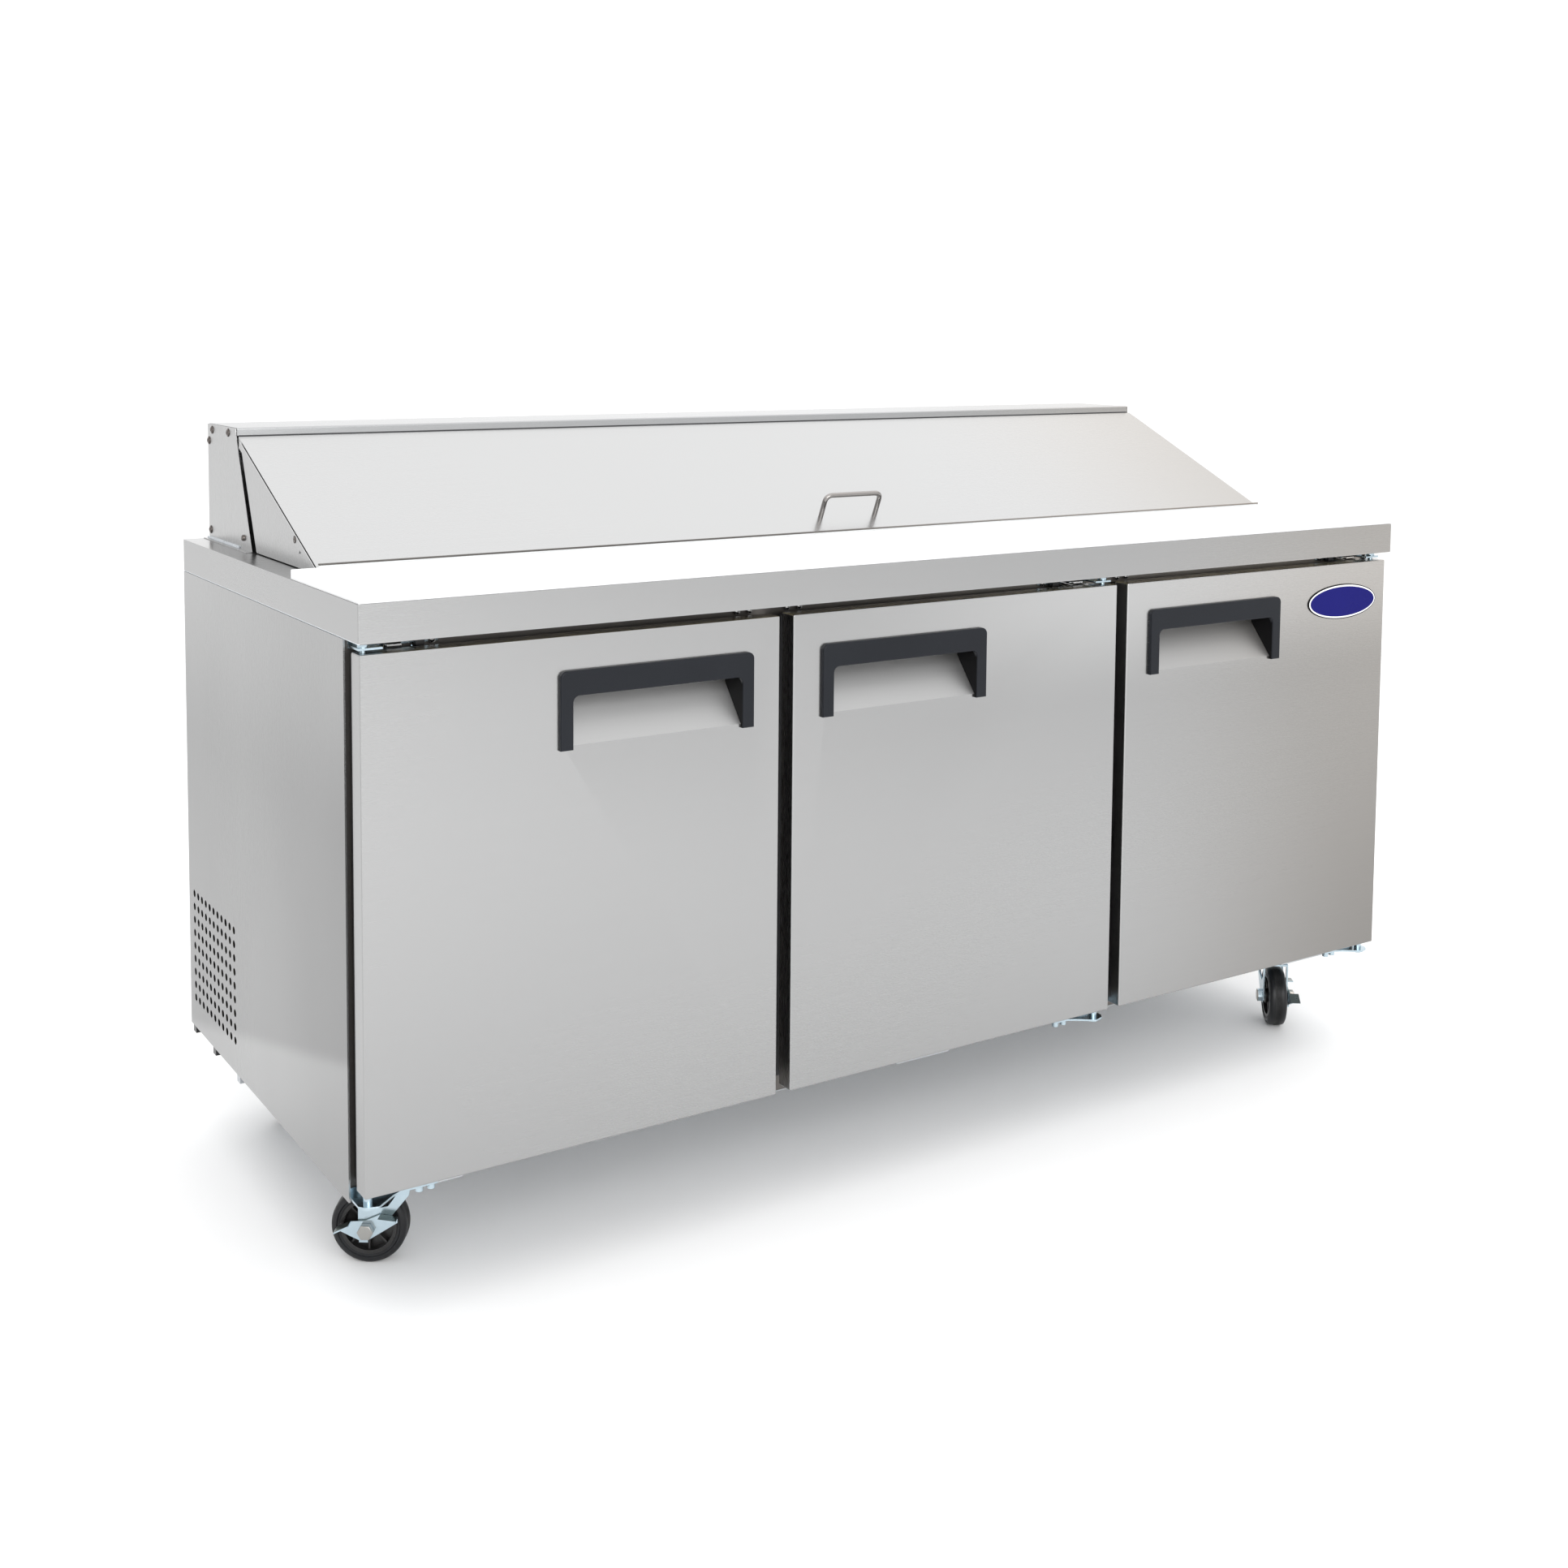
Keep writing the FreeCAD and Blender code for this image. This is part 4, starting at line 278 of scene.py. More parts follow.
STEEL = (0.435, 0.436, 0.437)
M = {
    "stainless": steel("stainless_sheet", STEEL, 0.27, "z", 0.022, 0.04),
    "apron": steel("stainless_apron", STEEL, 0.27, "y", 0.022, 0.04, 1.0, apron_painted_shade),
    # the doors' colour carries painted light and shade
    "door_steel": steel("stainless_door", STEEL, 0.27, "z", 0.018, 0.04, 1.0, door_painted_light),
    # the side sheets' colour carries painted light, shade and reflections
    "side_steel": steel("stainless_side", STEEL, 0.27, "z", 0.018, 0.04, 1.0, side_painted_light),
    # painted shade: the face frame's steel is dark and brownish to stand for the shade in the
    # gaps round the doors
    "painted_shade_steel": steel("frame_in_shade", (0.13, 0.122, 0.115), 0.42, "z", 0.04, 0.05, 2.0,
                         frame_painted_light),
    "bright": steel("stainless_bright", (0.55, 0.55, 0.55), 0.20, "y", 0.03, 0.04, 0.6),
    "galvanised": zinc("galvanised_sheet", (0.50, 0.52, 0.54), 0.42, 70.0),
    "inner_sheet": steel("inner_sheet", (0.62, 0.62, 0.61), 0.36, "z", 0.03),
    "zinc": zinc("zinc_plate", (0.46, 0.56, 0.62), 0.20, 120.0),
    # painted shade: the hand recesses get their own copy of the steel, toned for their shade
    "recess_painted_shade": steel("stainless_recess", (0.43, 0.43, 0.43), 0.50, "z", 0.01, 0.03),
    # painted highlight: a pale plastic for the light lines on the side aprons' lower edge and
    # the hood's feet
    "painted_edge_glint": plastic("painted_edge_glint", (0.62, 0.66, 0.70), 0.30, 500.0, 0.05, 1.0, 0, 0.03),
    "bolt_steel": steel("bolt_steel", (0.36, 0.355, 0.34), 0.24, "y", 0.03, 0.04, 0.6),
    # painted shade: a darker copy of the steel for the shaded look of the lid pull
    "pull_painted_shade": steel("pull_painted_shade", (0.30, 0.285, 0.275), 0.16, "y", 0.03, 0.04, 0.6),
    # near black for the badge's edge, and painted shade on the grips' inner faces
    "near_black_and_painted_shade": plastic("near_black_and_painted_shade", (0.003, 0.003, 0.0035), 0.45, 1500.0, 0.05, 1.5,
                           2.0, 0.08, Specular_IOR_Level=0.10),
    "screw_steel": steel("screw_steel", (0.13, 0.115, 0.108), 0.22, "y", 0.03, 0.04, 0.6),
    "hood_steel": steel("stainless_hood", (0.385, 0.39, 0.395), 0.27, "z", 0.022, 0.04),
    # painted shade: dark greenish zinc for the shaded, dark-reflecting tops of the brake treads
    "brake_top_painted_shade": zinc("brake_top_shade_zinc", (0.17, 0.20, 0.19), 0.30, 90.0),
    "copper": zinc("copper_line", (0.72, 0.34, 0.20), 0.30, 60.0),
    "board_white": plastic("board_white", (0.74, 0.745, 0.75), 0.45, 700.0, 0.05, 1.03, 0,
                           0.015),
    "liner_plastic": plastic("liner_plastic", (0.80, 0.81, 0.81), 0.38, 600.0, 0.04, 1.05, 0,
                             0.02),
    "handle_plastic": plastic("handle_plastic", (0.010, 0.0115, 0.015), 0.36, 1500.0, 0.05,
                              1.5, 2.0, 0.08, Specular_IOR_Level=0.17),
    "gasket_rubber": plastic("gasket_rubber", (0.045, 0.045, 0.048), 0.55, 900.0, 0.05,
                             1.3, 1.0, 0.08),
    "foam": plastic("foam_block", (0.72, 0.62, 0.38), 0.85, 400.0, 0.3, 1.0, 0, 0.06),
    "badge_enamel": plastic("badge_enamel", (0.006, 0.006, 0.122), 0.30, 300.0, 0.01, 1.1, 0,
                            0.03, Specular_IOR_Level=0.09),
    "badge_white": plastic("badge_white", (0.85, 0.86, 0.88), 0.25, 300.0, 0.01, 1.0, 0, 0.02),
    "tyre_rubber": plastic("tyre_rubber", (0.007, 0.0075, 0.009), 0.40, 1100.0, 0.05, 1.6, 2.0,
                           0.12, Specular_IOR_Level=0.35),
    "tread": plastic("tyre_tread", (0.075, 0.075, 0.074), 0.75, 500.0, 0.2, 1.2, 0, 0.25),
    "hub_plastic": plastic("hub_plastic", (0.010, 0.0095, 0.0095), 0.30, 900.0, 0.04, 1.5, 1.0,
                           0.1),
    "black_metal": plastic("black_metal", (0.02, 0.02, 0.021), 0.36, 500.0, 0.08, 1.5, 1.5,
                           0.1),
    "fan_plastic": plastic("fan_plastic", (0.03, 0.03, 0.032), 0.40, 700.0, 0.05, 1.3, 1.0,
                           0.08),
    "shelf_wire": plastic("shelf_wire", (0.78, 0.78, 0.77), 0.40, 500.0, 0.05, 1.0, 0, 0.03),
}

record = frame["record"]
slot_of = {row["node"]: row["material_slot"] for row in record["subparts"]}

for node_name, thing in frame["nodes"].items():
    material = M[slot_of.get(node_name, "stainless")]
    thing.data.materials.clear()
    thing.data.materials.append(material)

# --- shaping -----------------------------------------------------------------------------

def finish_mesh(mesh, sharp):
    """Smooth shading that stays crisp across edges steeper than the angle."""
    shape = bmesh.new()
    shape.from_mesh(mesh)
    limit = math.radians(sharp)
    for face in shape.faces:
        face.smooth = True
    for edge in shape.edges:
        edge.smooth = len(edge.link_faces) == 2 and edge.calc_face_angle(0) < limit
    shape.to_mesh(mesh)
    shape.free()


def piece(name, shape, body, slot, material=None, replaces=(), sharp=50, weighted=True):
    """Turn a bmesh into a finished piece that rides on a body."""
    bmesh.ops.remove_doubles(shape, verts=shape.verts, dist=2e-6)
    bmesh.ops.recalc_face_normals(shape, faces=shape.faces)
    mesh = bpy.data.meshes.new(name)
    shape.to_mesh(mesh)
    shape.free()
    finish_mesh(mesh, sharp)
    thing = bpy.data.objects.new(name, mesh)
    bpy.context.scene.collection.objects.link(thing)
    mesh.materials.append(material or M[slot])
    if weighted:
        normals = thing.modifiers.new("normals", "WEIGHTED_NORMAL")
        normals.keep_sharp = True
    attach(thing, body)
    if replaces:
        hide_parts(*replaces)
    return thing


def bevel_edges(shape, edges, width, segments=2):
    """Round edges off over a width in millimetres, or less where they would overlap."""
    edges = [edge for edge in edges if edge.is_valid]
    if edges:
        bmesh.ops.bevel(shape, geom=edges, offset=width * MM, offset_type="OFFSET",
                        segments=segments, profile=0.5, affect="EDGES",
                        clamp_overlap=True, loop_slide=True)


def steep(shape, angle=30.0, convex_only=False):
    """The edges whose two faces meet at more than the angle in degrees."""
    limit = math.radians(angle)
    found = []
    for edge in shape.edges:
        if len(edge.link_faces) != 2 or edge.calc_face_angle(0) < limit:
            continue
        if convex_only and not edge.is_convex:
            continue
        found.append(edge)
    return found


def cad_shape(node):
    """The CAD node's mesh with its split vertices joined and flat areas made whole."""
    shape = bmesh.new()
    shape.from_mesh(frame["nodes"][node].data)
    bmesh.ops.remove_doubles(shape, verts=shape.verts, dist=1e-5)
    bmesh.ops.dissolve_limit(shape, angle_limit=math.radians(0.6), verts=shape.verts,
                             edges=shape.edges)
    for vert in shape.verts:
        vert.normal_update()
    return shape


def body_of(node):
    return frame["nodes"][node]["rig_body"]


def refine(node, width=0.4, outer=None, outer_width=2.0, segments=2, material=None):
    """A CAD shape with its edges rounded; outer picks the edges of the large folds.

    Where a piece has edges that lie close together, the rounding stays far below width.
    """
    shape = cad_shape(node)
    if outer:
        chosen = [edge for edge in steep(shape, convex_only=True)
                  if outer(*(vert.co / MM for vert in edge.verts))]
        bevel_edges(shape, chosen, outer_width, 4)
    if width:
        bevel_edges(shape, steep(shape, 60.0 if outer else 30.0, True), width, segments)
    return piece(node + "_shaped", shape, body_of(node), slot_of[node], material, (node,))


def box_shape(low, high):
    shape = bmesh.new()
    low, high = Vector(low), Vector(high)
    made = bmesh.ops.create_cube(shape, size=1.0)
    for vert in made["verts"]:
        vert.co = Vector((low[i] + (vert.co[i] + 0.5) * (high[i] - low[i]) for i in range(3)))
    return shape


def extruded(outline, normal, low, high):
    """A prism over an outline in metres; the outline's axes are the two others in order."""
    shape = bmesh.new()
    spare = [axis for axis in range(3) if axis != normal]

    def corner(point, level):
        co = [0.0, 0.0, 0.0]
        co[normal] = level
        co[spare[0]], co[spare[1]] = point
        return shape.verts.new(co)

    bottom = [corner(point, low) for point in outline]
    top = [corner(point, high) for point in outline]
    count = len(outline)
    shape.faces.new(bottom)
    shape.faces.new(top)
    for index in range(count):
        after = (index + 1) % count
        shape.faces.new((bottom[index], bottom[after], top[after], top[index]))
    return shape


def rounded_line(corners, steps=5):
    """Corners as (a, b, radius) turned into points with true arcs; the ends have no radius."""
    points = []
    for index, (a, b, radius) in enumerate(corners):
        here = Vector((a, b))
        if radius <= 0:
            points.append(here)
            continue
        before = Vector(corners[index - 1][:2]) - here
        after = Vector(corners[index + 1][:2]) - here
        turn = before.angle(after)
        reach = radius / math.tan(turn / 2)
        start = here + before.normalized() * reach
        end = here + after.normalized() * reach
        middle = here + (before.normalized() + after.normalized()).normalized() * (
            radius / math.sin(turn / 2))
        first = start - middle
        sweep = first.angle_signed(end - middle)
        for step in range(steps + 1):
            arm = first.copy()
            arm.rotate(Matrix.Rotation(-sweep * step / steps, 2))
            points.append(middle + arm)
    return points


def thick_line(points, thickness):
    """The closed outline of a sheet whose one side runs along the points."""
    inner = []
    count = len(points)
    for index, point in enumerate(points):
        sides = []
        if index > 0:
            sides.append((point - points[index - 1]).normalized())
        if index < count - 1:
            sides.append((points[index + 1] - point).normalized())
        across = sum((Vector((-side.y, side.x)) for side in sides), Vector((0, 0)))
        across.normalize()
        first = Vector((-sides[0].y, sides[0].x))
        inner.append(point + across * (thickness / max(across.dot(first), 0.3)))
    return points + inner[::-1]


def lathe(profile, centre, axis, shape=None, steps=32):
    """Turn (radius, height) points about an axis through the centre."""
    shape = shape or bmesh.new()
    axis = Vector(axis).normalized()
    side = axis.orthogonal().normalized()
    other = axis.cross(side)
    rings = []
    for radius, height in profile:
        if radius < 1e-9:
            rings.append([shape.verts.new(Vector(centre) + axis * height)])
            continue
        rings.append([
            shape.verts.new(Vector(centre) + axis * height
                            + (side * math.cos(math.tau * k / steps)
                               + other * math.sin(math.tau * k / steps)) * radius)
            for k in range(steps)])
    for low, high in zip(rings, rings[1:]):
        for k in range(steps):
            after = (k + 1) % steps
            if len(low) == 1 and len(high) > 1:
                shape.faces.new((low[0], high[after], high[k]))
            elif len(high) == 1 and len(low) > 1:
                shape.faces.new((low[k], low[after], high[0]))
            elif len(low) > 1:
                shape.faces.new((low[k], low[after], high[after], high[k]))
    return shape


BEND_STEPS = 8


def tube(name, points, radius, body, slot, material=None, bend=0.0, replaces=()):
    """A round wire through points, its corners eased over about the bend radius."""
    line = []
    for index, point in enumerate(points):
        point = Vector(point)
        if not bend or index in (0, len(points) - 1):
            line.append(point)
            continue
        before = Vector(points[index - 1]) - point
        after = Vector(points[index + 1]) - point
        turn = before.angle(after)
        reach = min(bend / math.tan(turn / 2), before.length * 0.49, after.length * 0.49)
        start = point + before.normalized() * reach
        end = point + after.normalized() * reach
        for step in range(BEND_STEPS + 1):
            t = step / BEND_STEPS
            line.append(start * (1 - t) ** 2 + point * 2 * t * (1 - t) + end * t * t)
    data = bpy.data.curves.new(name, "CURVE")
    data.dimensions = "3D"
    data.bevel_depth = radius
    data.bevel_resolution = 5
    data.use_fill_caps = True
    spline = data.splines.new("POLY")
    spline.points.add(len(line) - 1)
    for item, point in zip(spline.points, line):
        item.co = (*point, 1)
    spline.use_smooth = True
    holder = bpy.data.objects.new(name + "_line", data)
    bpy.context.scene.collection.objects.link(holder)
    bpy.context.view_layer.update()
    mesh = bpy.data.meshes.new_from_object(holder)
    bpy.data.objects.remove(holder)
    bpy.data.curves.remove(data)
    shape = bmesh.new()
    shape.from_mesh(mesh)
    bpy.data.meshes.remove(mesh)
    return piece(name, shape, body, slot, material, replaces, 50, False)


def ring_sweep(profile, low, high, normal, level):
    """Sweep (inward, height) points round a rectangle whose plane is square to normal."""
    shape = bmesh.new()
    spare = [axis for axis in range(3) if axis != normal]
    loops = []
    for inward, height in profile:
        rect = [(low[0] + inward, low[1] + inward), (high[0] - inward, low[1] + inward),
                (high[0] - inward, high[1] - inward), (low[0] + inward, high[1] - inward)]
        loop = []
        for a, b in rect:
            co = [0.0, 0.0, 0.0]
            co[normal] = level + height
            co[spare[0]], co[spare[1]] = a, b
            loop.append(shape.verts.new(co))
        loops.append(loop)
    count = len(loops[0])
    for index, loop in enumerate(loops):
        after = loops[(index + 1) % len(loops)]
        for k in range(count):
            n = (k + 1) % count
            shape.faces.new((loop[k], loop[n], after[n], after[k]))
    return shape


DOME_ANGLES = (24, 38, 54, 70, 84, 90)
RIB_HALF_WIDE_IN, RIB_HALF_WIDE_OUT = 0.09, 0.06
RIB_FROM, RIB_TO = 0.04, 0.34


def screw_head(shape, centre, axis, radius, tall, washer=0.0):
    """A button head with a small cross in a round socket, open underneath."""
    dome = [(radius * math.sin(a), tall * (0.25 + 0.75 * math.cos(a)))
            for a in map(math.radians, DOME_ANGLES)]
    profile = [(0.0, tall * 0.45), (radius * 0.30, tall * 0.45), (radius * 0.36, tall * 0.90)]
    profile += dome + [(radius, 0.0)]
    if washer:
        profile += [(radius + washer, 0.6 * MM), (radius + washer, 0.0)]
    lathe(profile, centre, axis, shape, 24)
    axis = Vector(axis).normalized()
    side = axis.orthogonal().normalized()
    base = Vector(centre) + axis * tall * 0.46
    for turn in (20, 110):
        along = side.copy()
        along.rotate(Matrix.Rotation(math.radians(turn), 3, axis))
        over = axis.cross(along)
        for sign in (-1, 1):
            near_end = base + along * sign * radius * RIB_FROM
            far_end = base + along * sign * radius * RIB_TO
            near_half = over * radius * RIB_HALF_WIDE_IN
            far_half = over * radius * RIB_HALF_WIDE_OUT
            quad = [near_end + near_half, far_end + far_half,
                    far_end - far_half, near_end - near_half]
            low = [shape.verts.new(point) for point in quad]
            high = [shape.verts.new(point + axis * tall * 0.10) for point in quad]
            shape.faces.new(low)
            shape.faces.new(high)
            for k in range(4):
                n = (k + 1) % 4
                shape.faces.new((low[k], low[n], high[n], high[k]))
    return shape


# --- cabinet sheets ----------------------------------------------------------------------

def hand(side):
    return "left" if side < 0 else "right"


def near(value, target, gap=0.05):
    return abs(value - target) < gap


def on_outside(node, axes):
    """A test that both ends of an edge lie on two of a node's outermost planes."""
    low, high = (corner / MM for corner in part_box(node))

    def test(first, second):
        shared = 0
        for axis, side in axes:
            level = low[axis] if side < 0 else high[axis]
            if near(first[axis], level) and near(second[axis], level):
                shared += 1
        return shared >= 2

    return test


ALL_ROUND = ((0, -1), (0, 1), (1, -1), (1, 1), (2, -1), (2, 1))
DOOR_OUTSIDE = ((0, -1), (0, 1), (1, -1), (2, -1), (2, 1))
DOORS = ("left", "middle", "right")
CASTERS = ("front_left", "front_right", "rear_left", "rear_right")
LEAF_SCREW_UP = 3.8
PIVOT_IN = 12.0
FRAME_FACE = 56.0
LID_SLOPE = math.radians(24.41)
GLINT_BAND_TALL = 1.8
LUG_WIDE, LUG_TOP, LUG_BEHIND = 20.0, 153.9, 200.0
RECESS_FROM, RECESS_TO = 8.3, 51.5
DOOR_FACE_TO = 9.0

worktop = refine("worktop", 0.35, on_outside("worktop", ALL_ROUND), 1.6,
                 material=M["apron"])
refine("cutting_board", 0.7)
for side in ("left", "right"):
    refine("side_panel_" + side, 0.35, material=M["side_steel"])
refine("rear_panel", 0.3)
refine("face_frame", 0.4, material=M["painted_shade_steel"])
refine("hood_ends", 0.4)
refine("hood_liner", 0.4)


def paint(thing, look, test):
    """Give the faces that pass a test another finish."""
    thing.data.materials.append(M[look])
    for polygon in thing.data.polygons:
        if test(polygon):
            polygon.material_index = len(thing.data.materials) - 1


apron_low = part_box("worktop")[0].z
# Painted highlight: the side aprons' lower rounded edge gets the pale finish for its light
# line.
paint(worktop, "painted_edge_glint",
      lambda face: face.center.z < apron_low + GLINT_BAND_TALL * MM
      and -0.97 < face.normal.z < -0.12 and abs(face.center.x) > 921 * MM)


def lid_nose(first, second):
    """The two bends of the lid's front fold."""
    along = abs(first.x - second.x) > 500
    return along and max(first.y, second.y) < 273.5 - HALF_DEEP and min(first.z, second.z) > 919


refine("lid_shell", 0.45, lid_nose, 1.9)
refine("lid_liner", 3.0, segments=3)
refine("food_pans", 0.35)
refine("pan_bars", 0.6)
refine("inner_liner", 0.5)
refine("shelf_supports", 0.3)
refine("hinge_brackets", 0.5)
refine("caster_plates", 0.6)
refine("controller", 3.0, segments=3)
refine("cord_gland", 1.0)
refine("cabinet_insulation", 1.0)
lug_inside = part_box("base_frame")[1].x - LUG_WIDE * MM
paint(refine("base_frame", 0.6), "black_metal",
      lambda face: abs(face.center.x) > lug_inside and face.center.z < LUG_TOP * MM
      and face.center.y > LUG_BEHIND * MM)


def in_recess(grip):
    """A test for the faces of the pressed hand recess behind a grip."""
    low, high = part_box(grip)

    def test(face):
        middle = face.center
        inside = low.x < middle.x < high.x and low.z - MM < middle.z < high.z
        return inside and behind(RECESS_FROM) < middle.y < behind(RECESS_TO)

    return test


for word in DOORS:
    skin = refine("door_skin_" + word, 0.3, on_outside("door_skin_" + word, DOOR_OUTSIDE),
                  2.2, material=M["door_steel"])
    # painted shade: the recess faces get the steel copy toned for the shade under the grip
    paint(skin, "recess_painted_shade", in_recess("door_handle_" + word))
    # painted shade: the grip's faces towards the door are made near black for the shade in the
    # recess
    paint(refine("door_handle_" + word, 0.3), "near_black_and_painted_shade",
          lambda face: face.center.y > behind(DOOR_FACE_TO))
    refine("door_foam_" + word, 0)


def joint_of(name):
    return next(joint for joint in frame["joints"] if joint["name"] == name)


def bolt_tests(corner):
    """Tests for a caster's axle bolt: the rims of its head and nut, and all its faces."""
    turn = joint_of("roll_" + corner)
    way, at = Vector(turn["axis"]), Vector(turn["pos_m"])

    def from_axle(point):
        """A point's distances in millimetres along the axle and away from it."""
        along = (point - at).dot(way)
        return abs(along) / MM, ((point - at) - way * along).length / MM

    def on_rim(first, second):
        reach, off = zip(from_axle(first * MM), from_axle(second * MM))
        return min(reach) > 30.0 and max(off) < 11.5 and min(off) > 8.0

    def on_bolt(face):
        reach, off = from_axle(face.center)
        return reach > 26.0 and off < 11.2

    return on_rim, on_bolt


for corner in CASTERS:
    on_rim, on_bolt = bolt_tests(corner)
    paint(refine("caster_fork_" + corner, 0.6, on_rim, 1.5), "bolt_steel", on_bolt)
    refine("caster_hub_" + corner, 0.5)
for corner in ("front_left", "front_right"):
    # painted shade: the brakes' upward faces get the dark zinc for the shade on their tops
    paint(refine("caster_brake_" + corner, 0.6), "brake_top_painted_shade",
          lambda face: face.normal.z > 0.6 and face.area > 40 * MM * MM)
refine("condenser", 0.15, material=M["black_metal"])
refine("fan_shroud", 0.6)
refine("compressor", 1.0, segments=3)
refine("evaporator", 0.15)
refine("condenser_fan", 0.5)
refine("evaporator_fan", 0.5)
refine("wire_shelves", 0)


def make_hood():
    """The bent hood sheet with real bend radii."""
    low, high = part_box("hood_shell")
    lip_low = high.z - 11.5 * MM
    bend = 0.0028
    line = rounded_line([(low.y, lip_low, 0), (low.y, high.z, bend),
                         (high.y, high.z, bend), (high.y, low.z, 0)])
    shape = extruded(thick_line(line, -1.2 * MM), 0, low.x, high.x)
    bevel_edges(shape, steep(shape, 60, True), 0.3)
    piece("hood_sheet", shape, "cabinet", "stainless", M["hood_steel"], ("hood_shell",))


def make_liners():
    """Door liners with a moulded plug, and bellows gaskets round them."""
    for word in DOORS:
        node = "door_liner_" + word
        low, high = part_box("door_skin_" + word)
        plug = 34.0 * MM

        def plug_edge(first, second):
            inside = (near(first.x, (low.x + plug) / MM, 0.1)
                      or near(first.x, (high.x - plug) / MM, 0.1)
                      or near(first.z, (low.z + plug) / MM, 0.1)
                      or near(first.z, (high.z - plug) / MM, 0.1))
            return inside and max(first.y, second.y) > low.y / MM + 50

        refine(node, 0.5, plug_edge, 5.5)
        box_low, box_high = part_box("door_gasket_" + word)
        profile = [(1, 0), (19, 0), (19, 2.6), (15.5, 4), (15.5, 7.5), (18, 9.5), (18, 11.5),
                   (20, 13), (20, 18.6), (19.2, 19.5), (0.8, 19.5), (0, 18.6), (0, 13),
                   (2, 11.5), (2, 9.5), (4.5, 7.5), (4.5, 4), (1, 2.6)]
        shape = ring_sweep([(a * MM, b * MM) for a, b in profile],
                           (box_low.x, box_low.z), (box_high.x, box_high.z), 1, box_low.y)
        piece("gasket_bellows_" + word, shape, "door_" + word, "gasket_rubber",
              replaces=("door_gasket_" + word,), sharp=25)


def hinge_side(word):
    """A door's pivot line, the way from it into the door, and the door's top."""
    low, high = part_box("door_skin_" + word)
    inward = 1 if word == "left" else -1
    return (low.x if word == "left" else high.x) + inward * PIVOT_IN * MM, inward, high.z


def make_badge():
    """Plain oval badge: dark edge, white rim, flat navy field."""
    low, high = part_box("badge")
    middle = (low + high) / 2
    half = (high - low) / 2
    levels = (
        # name, finish, share of the outline, start and end height
        ("badge_edge", "near_black_and_painted_shade", 1.0, 0.0, 1.8),
        ("badge_rim", "badge_white", 0.982, 1.8, 2.0),
        ("badge_field", "badge_enamel", 0.948, 2.0, 2.5),
    )
    steps = 96
    for name, look, share, start, end in levels:
        shape = bmesh.new()
        inset = (1 - share) * half.x
        rings = []
        rows = [(0.0, start), (0.0, end - 0.25), (0.25 * MM, end)]
        rows += [(inner * half.z * 0.94, end) for inner in (0.35, 0.7)]
        for inward, height in rows:
            rings.append([
                shape.verts.new((middle.x + (half.x - inset - inward) * math.cos(angle),
                                 high.y - height * MM,
                                 middle.z + (half.z - inset - inward) * math.sin(angle)))
                for angle in (math.tau * k / steps for k in range(steps))])
        for low_ring, high_ring in zip(rings, rings[1:]):
            for k in range(steps):
                n = (k + 1) % steps
                shape.faces.new((low_ring[k], low_ring[n], high_ring[n], high_ring[k]))
        shape.faces.new(rings[0])
        shape.faces.new(rings[-1])
        piece(name, shape, "door_right", "badge_enamel", M[look],
              ("badge",) if name == "badge_edge" else (), 40)


def make_pull():
    """Bent wire pull on the lid."""
    low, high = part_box("lid_handle")
    up = Vector((0, -math.sin(LID_SLOPE), math.cos(LID_SLOPE)))
    radius = 4.0 * MM
    foot = Vector(((low.x + high.x) / 2, high.y - radius * math.cos(LID_SLOPE),
                   low.z + radius * math.sin(LID_SLOPE)))
    half = Vector(((high.x - low.x) / 2 - radius, 0, 0))
    sunk = up * 0.5 * MM
    rise = up * (38.0 * MM)
    points = [foot - half - sunk, foot - half + rise, foot + half + rise, foot + half - sunk]
    # the pull gets the darker steel copy, painted shade
    tube("lid_pull", points, radius, "lid", "stainless", M["pull_painted_shade"],
         bend=12 * MM, replaces=("lid_handle",))


HOOD_SCREWS = ((738.0, 1080.0), (655.0, 1080.0), (755.0, 1063.0), (752.0, 926.0))
HOOD_RIVET = (584.0, 930.0)


def make_screw_heads():
    """Button heads on the hood's ends and the hinge leaves, and a rivet on each hood end."""
    shape = bmesh.new()
    for side in (-1, 1):
        face = side * (HALF_WIDE - 40.0) * MM
        for distance, up in HOOD_SCREWS:
            at = spot(0, distance, up)
            screw_head(shape, (face, at.y, at.z), (side, 0, 0), 5.4 * MM, 3.0 * MM, 1.0 * MM)
        at = spot(0, *HOOD_RIVET)
        lathe([(0, 3.4 * MM), (3.2 * MM, 3.4 * MM), (4.2 * MM, 2.6 * MM), (4.6 * MM, 0)],
              (face, at.y, at.z), (side, 0, 0), shape, 24)
    leaf = bmesh.new()
    for word in DOORS:
        pivot, inward, top = hinge_side(word)
        for along in (79.0, 99.0):
            at = Vector((pivot + inward * along * MM, behind(FRAME_FACE),
                         top + LEAF_SCREW_UP * MM))
            screw_head(leaf, at, (0, -1, 0), 4.2 * MM, 3.0 * MM, 0.8 * MM)
    piece("leaf_screws", leaf, "cabinet", "zinc", M["bright"], (), 40, False)
    piece("button_screws", shape, "cabinet", "zinc", M["screw_steel"], ("screws",), 40,
          False)


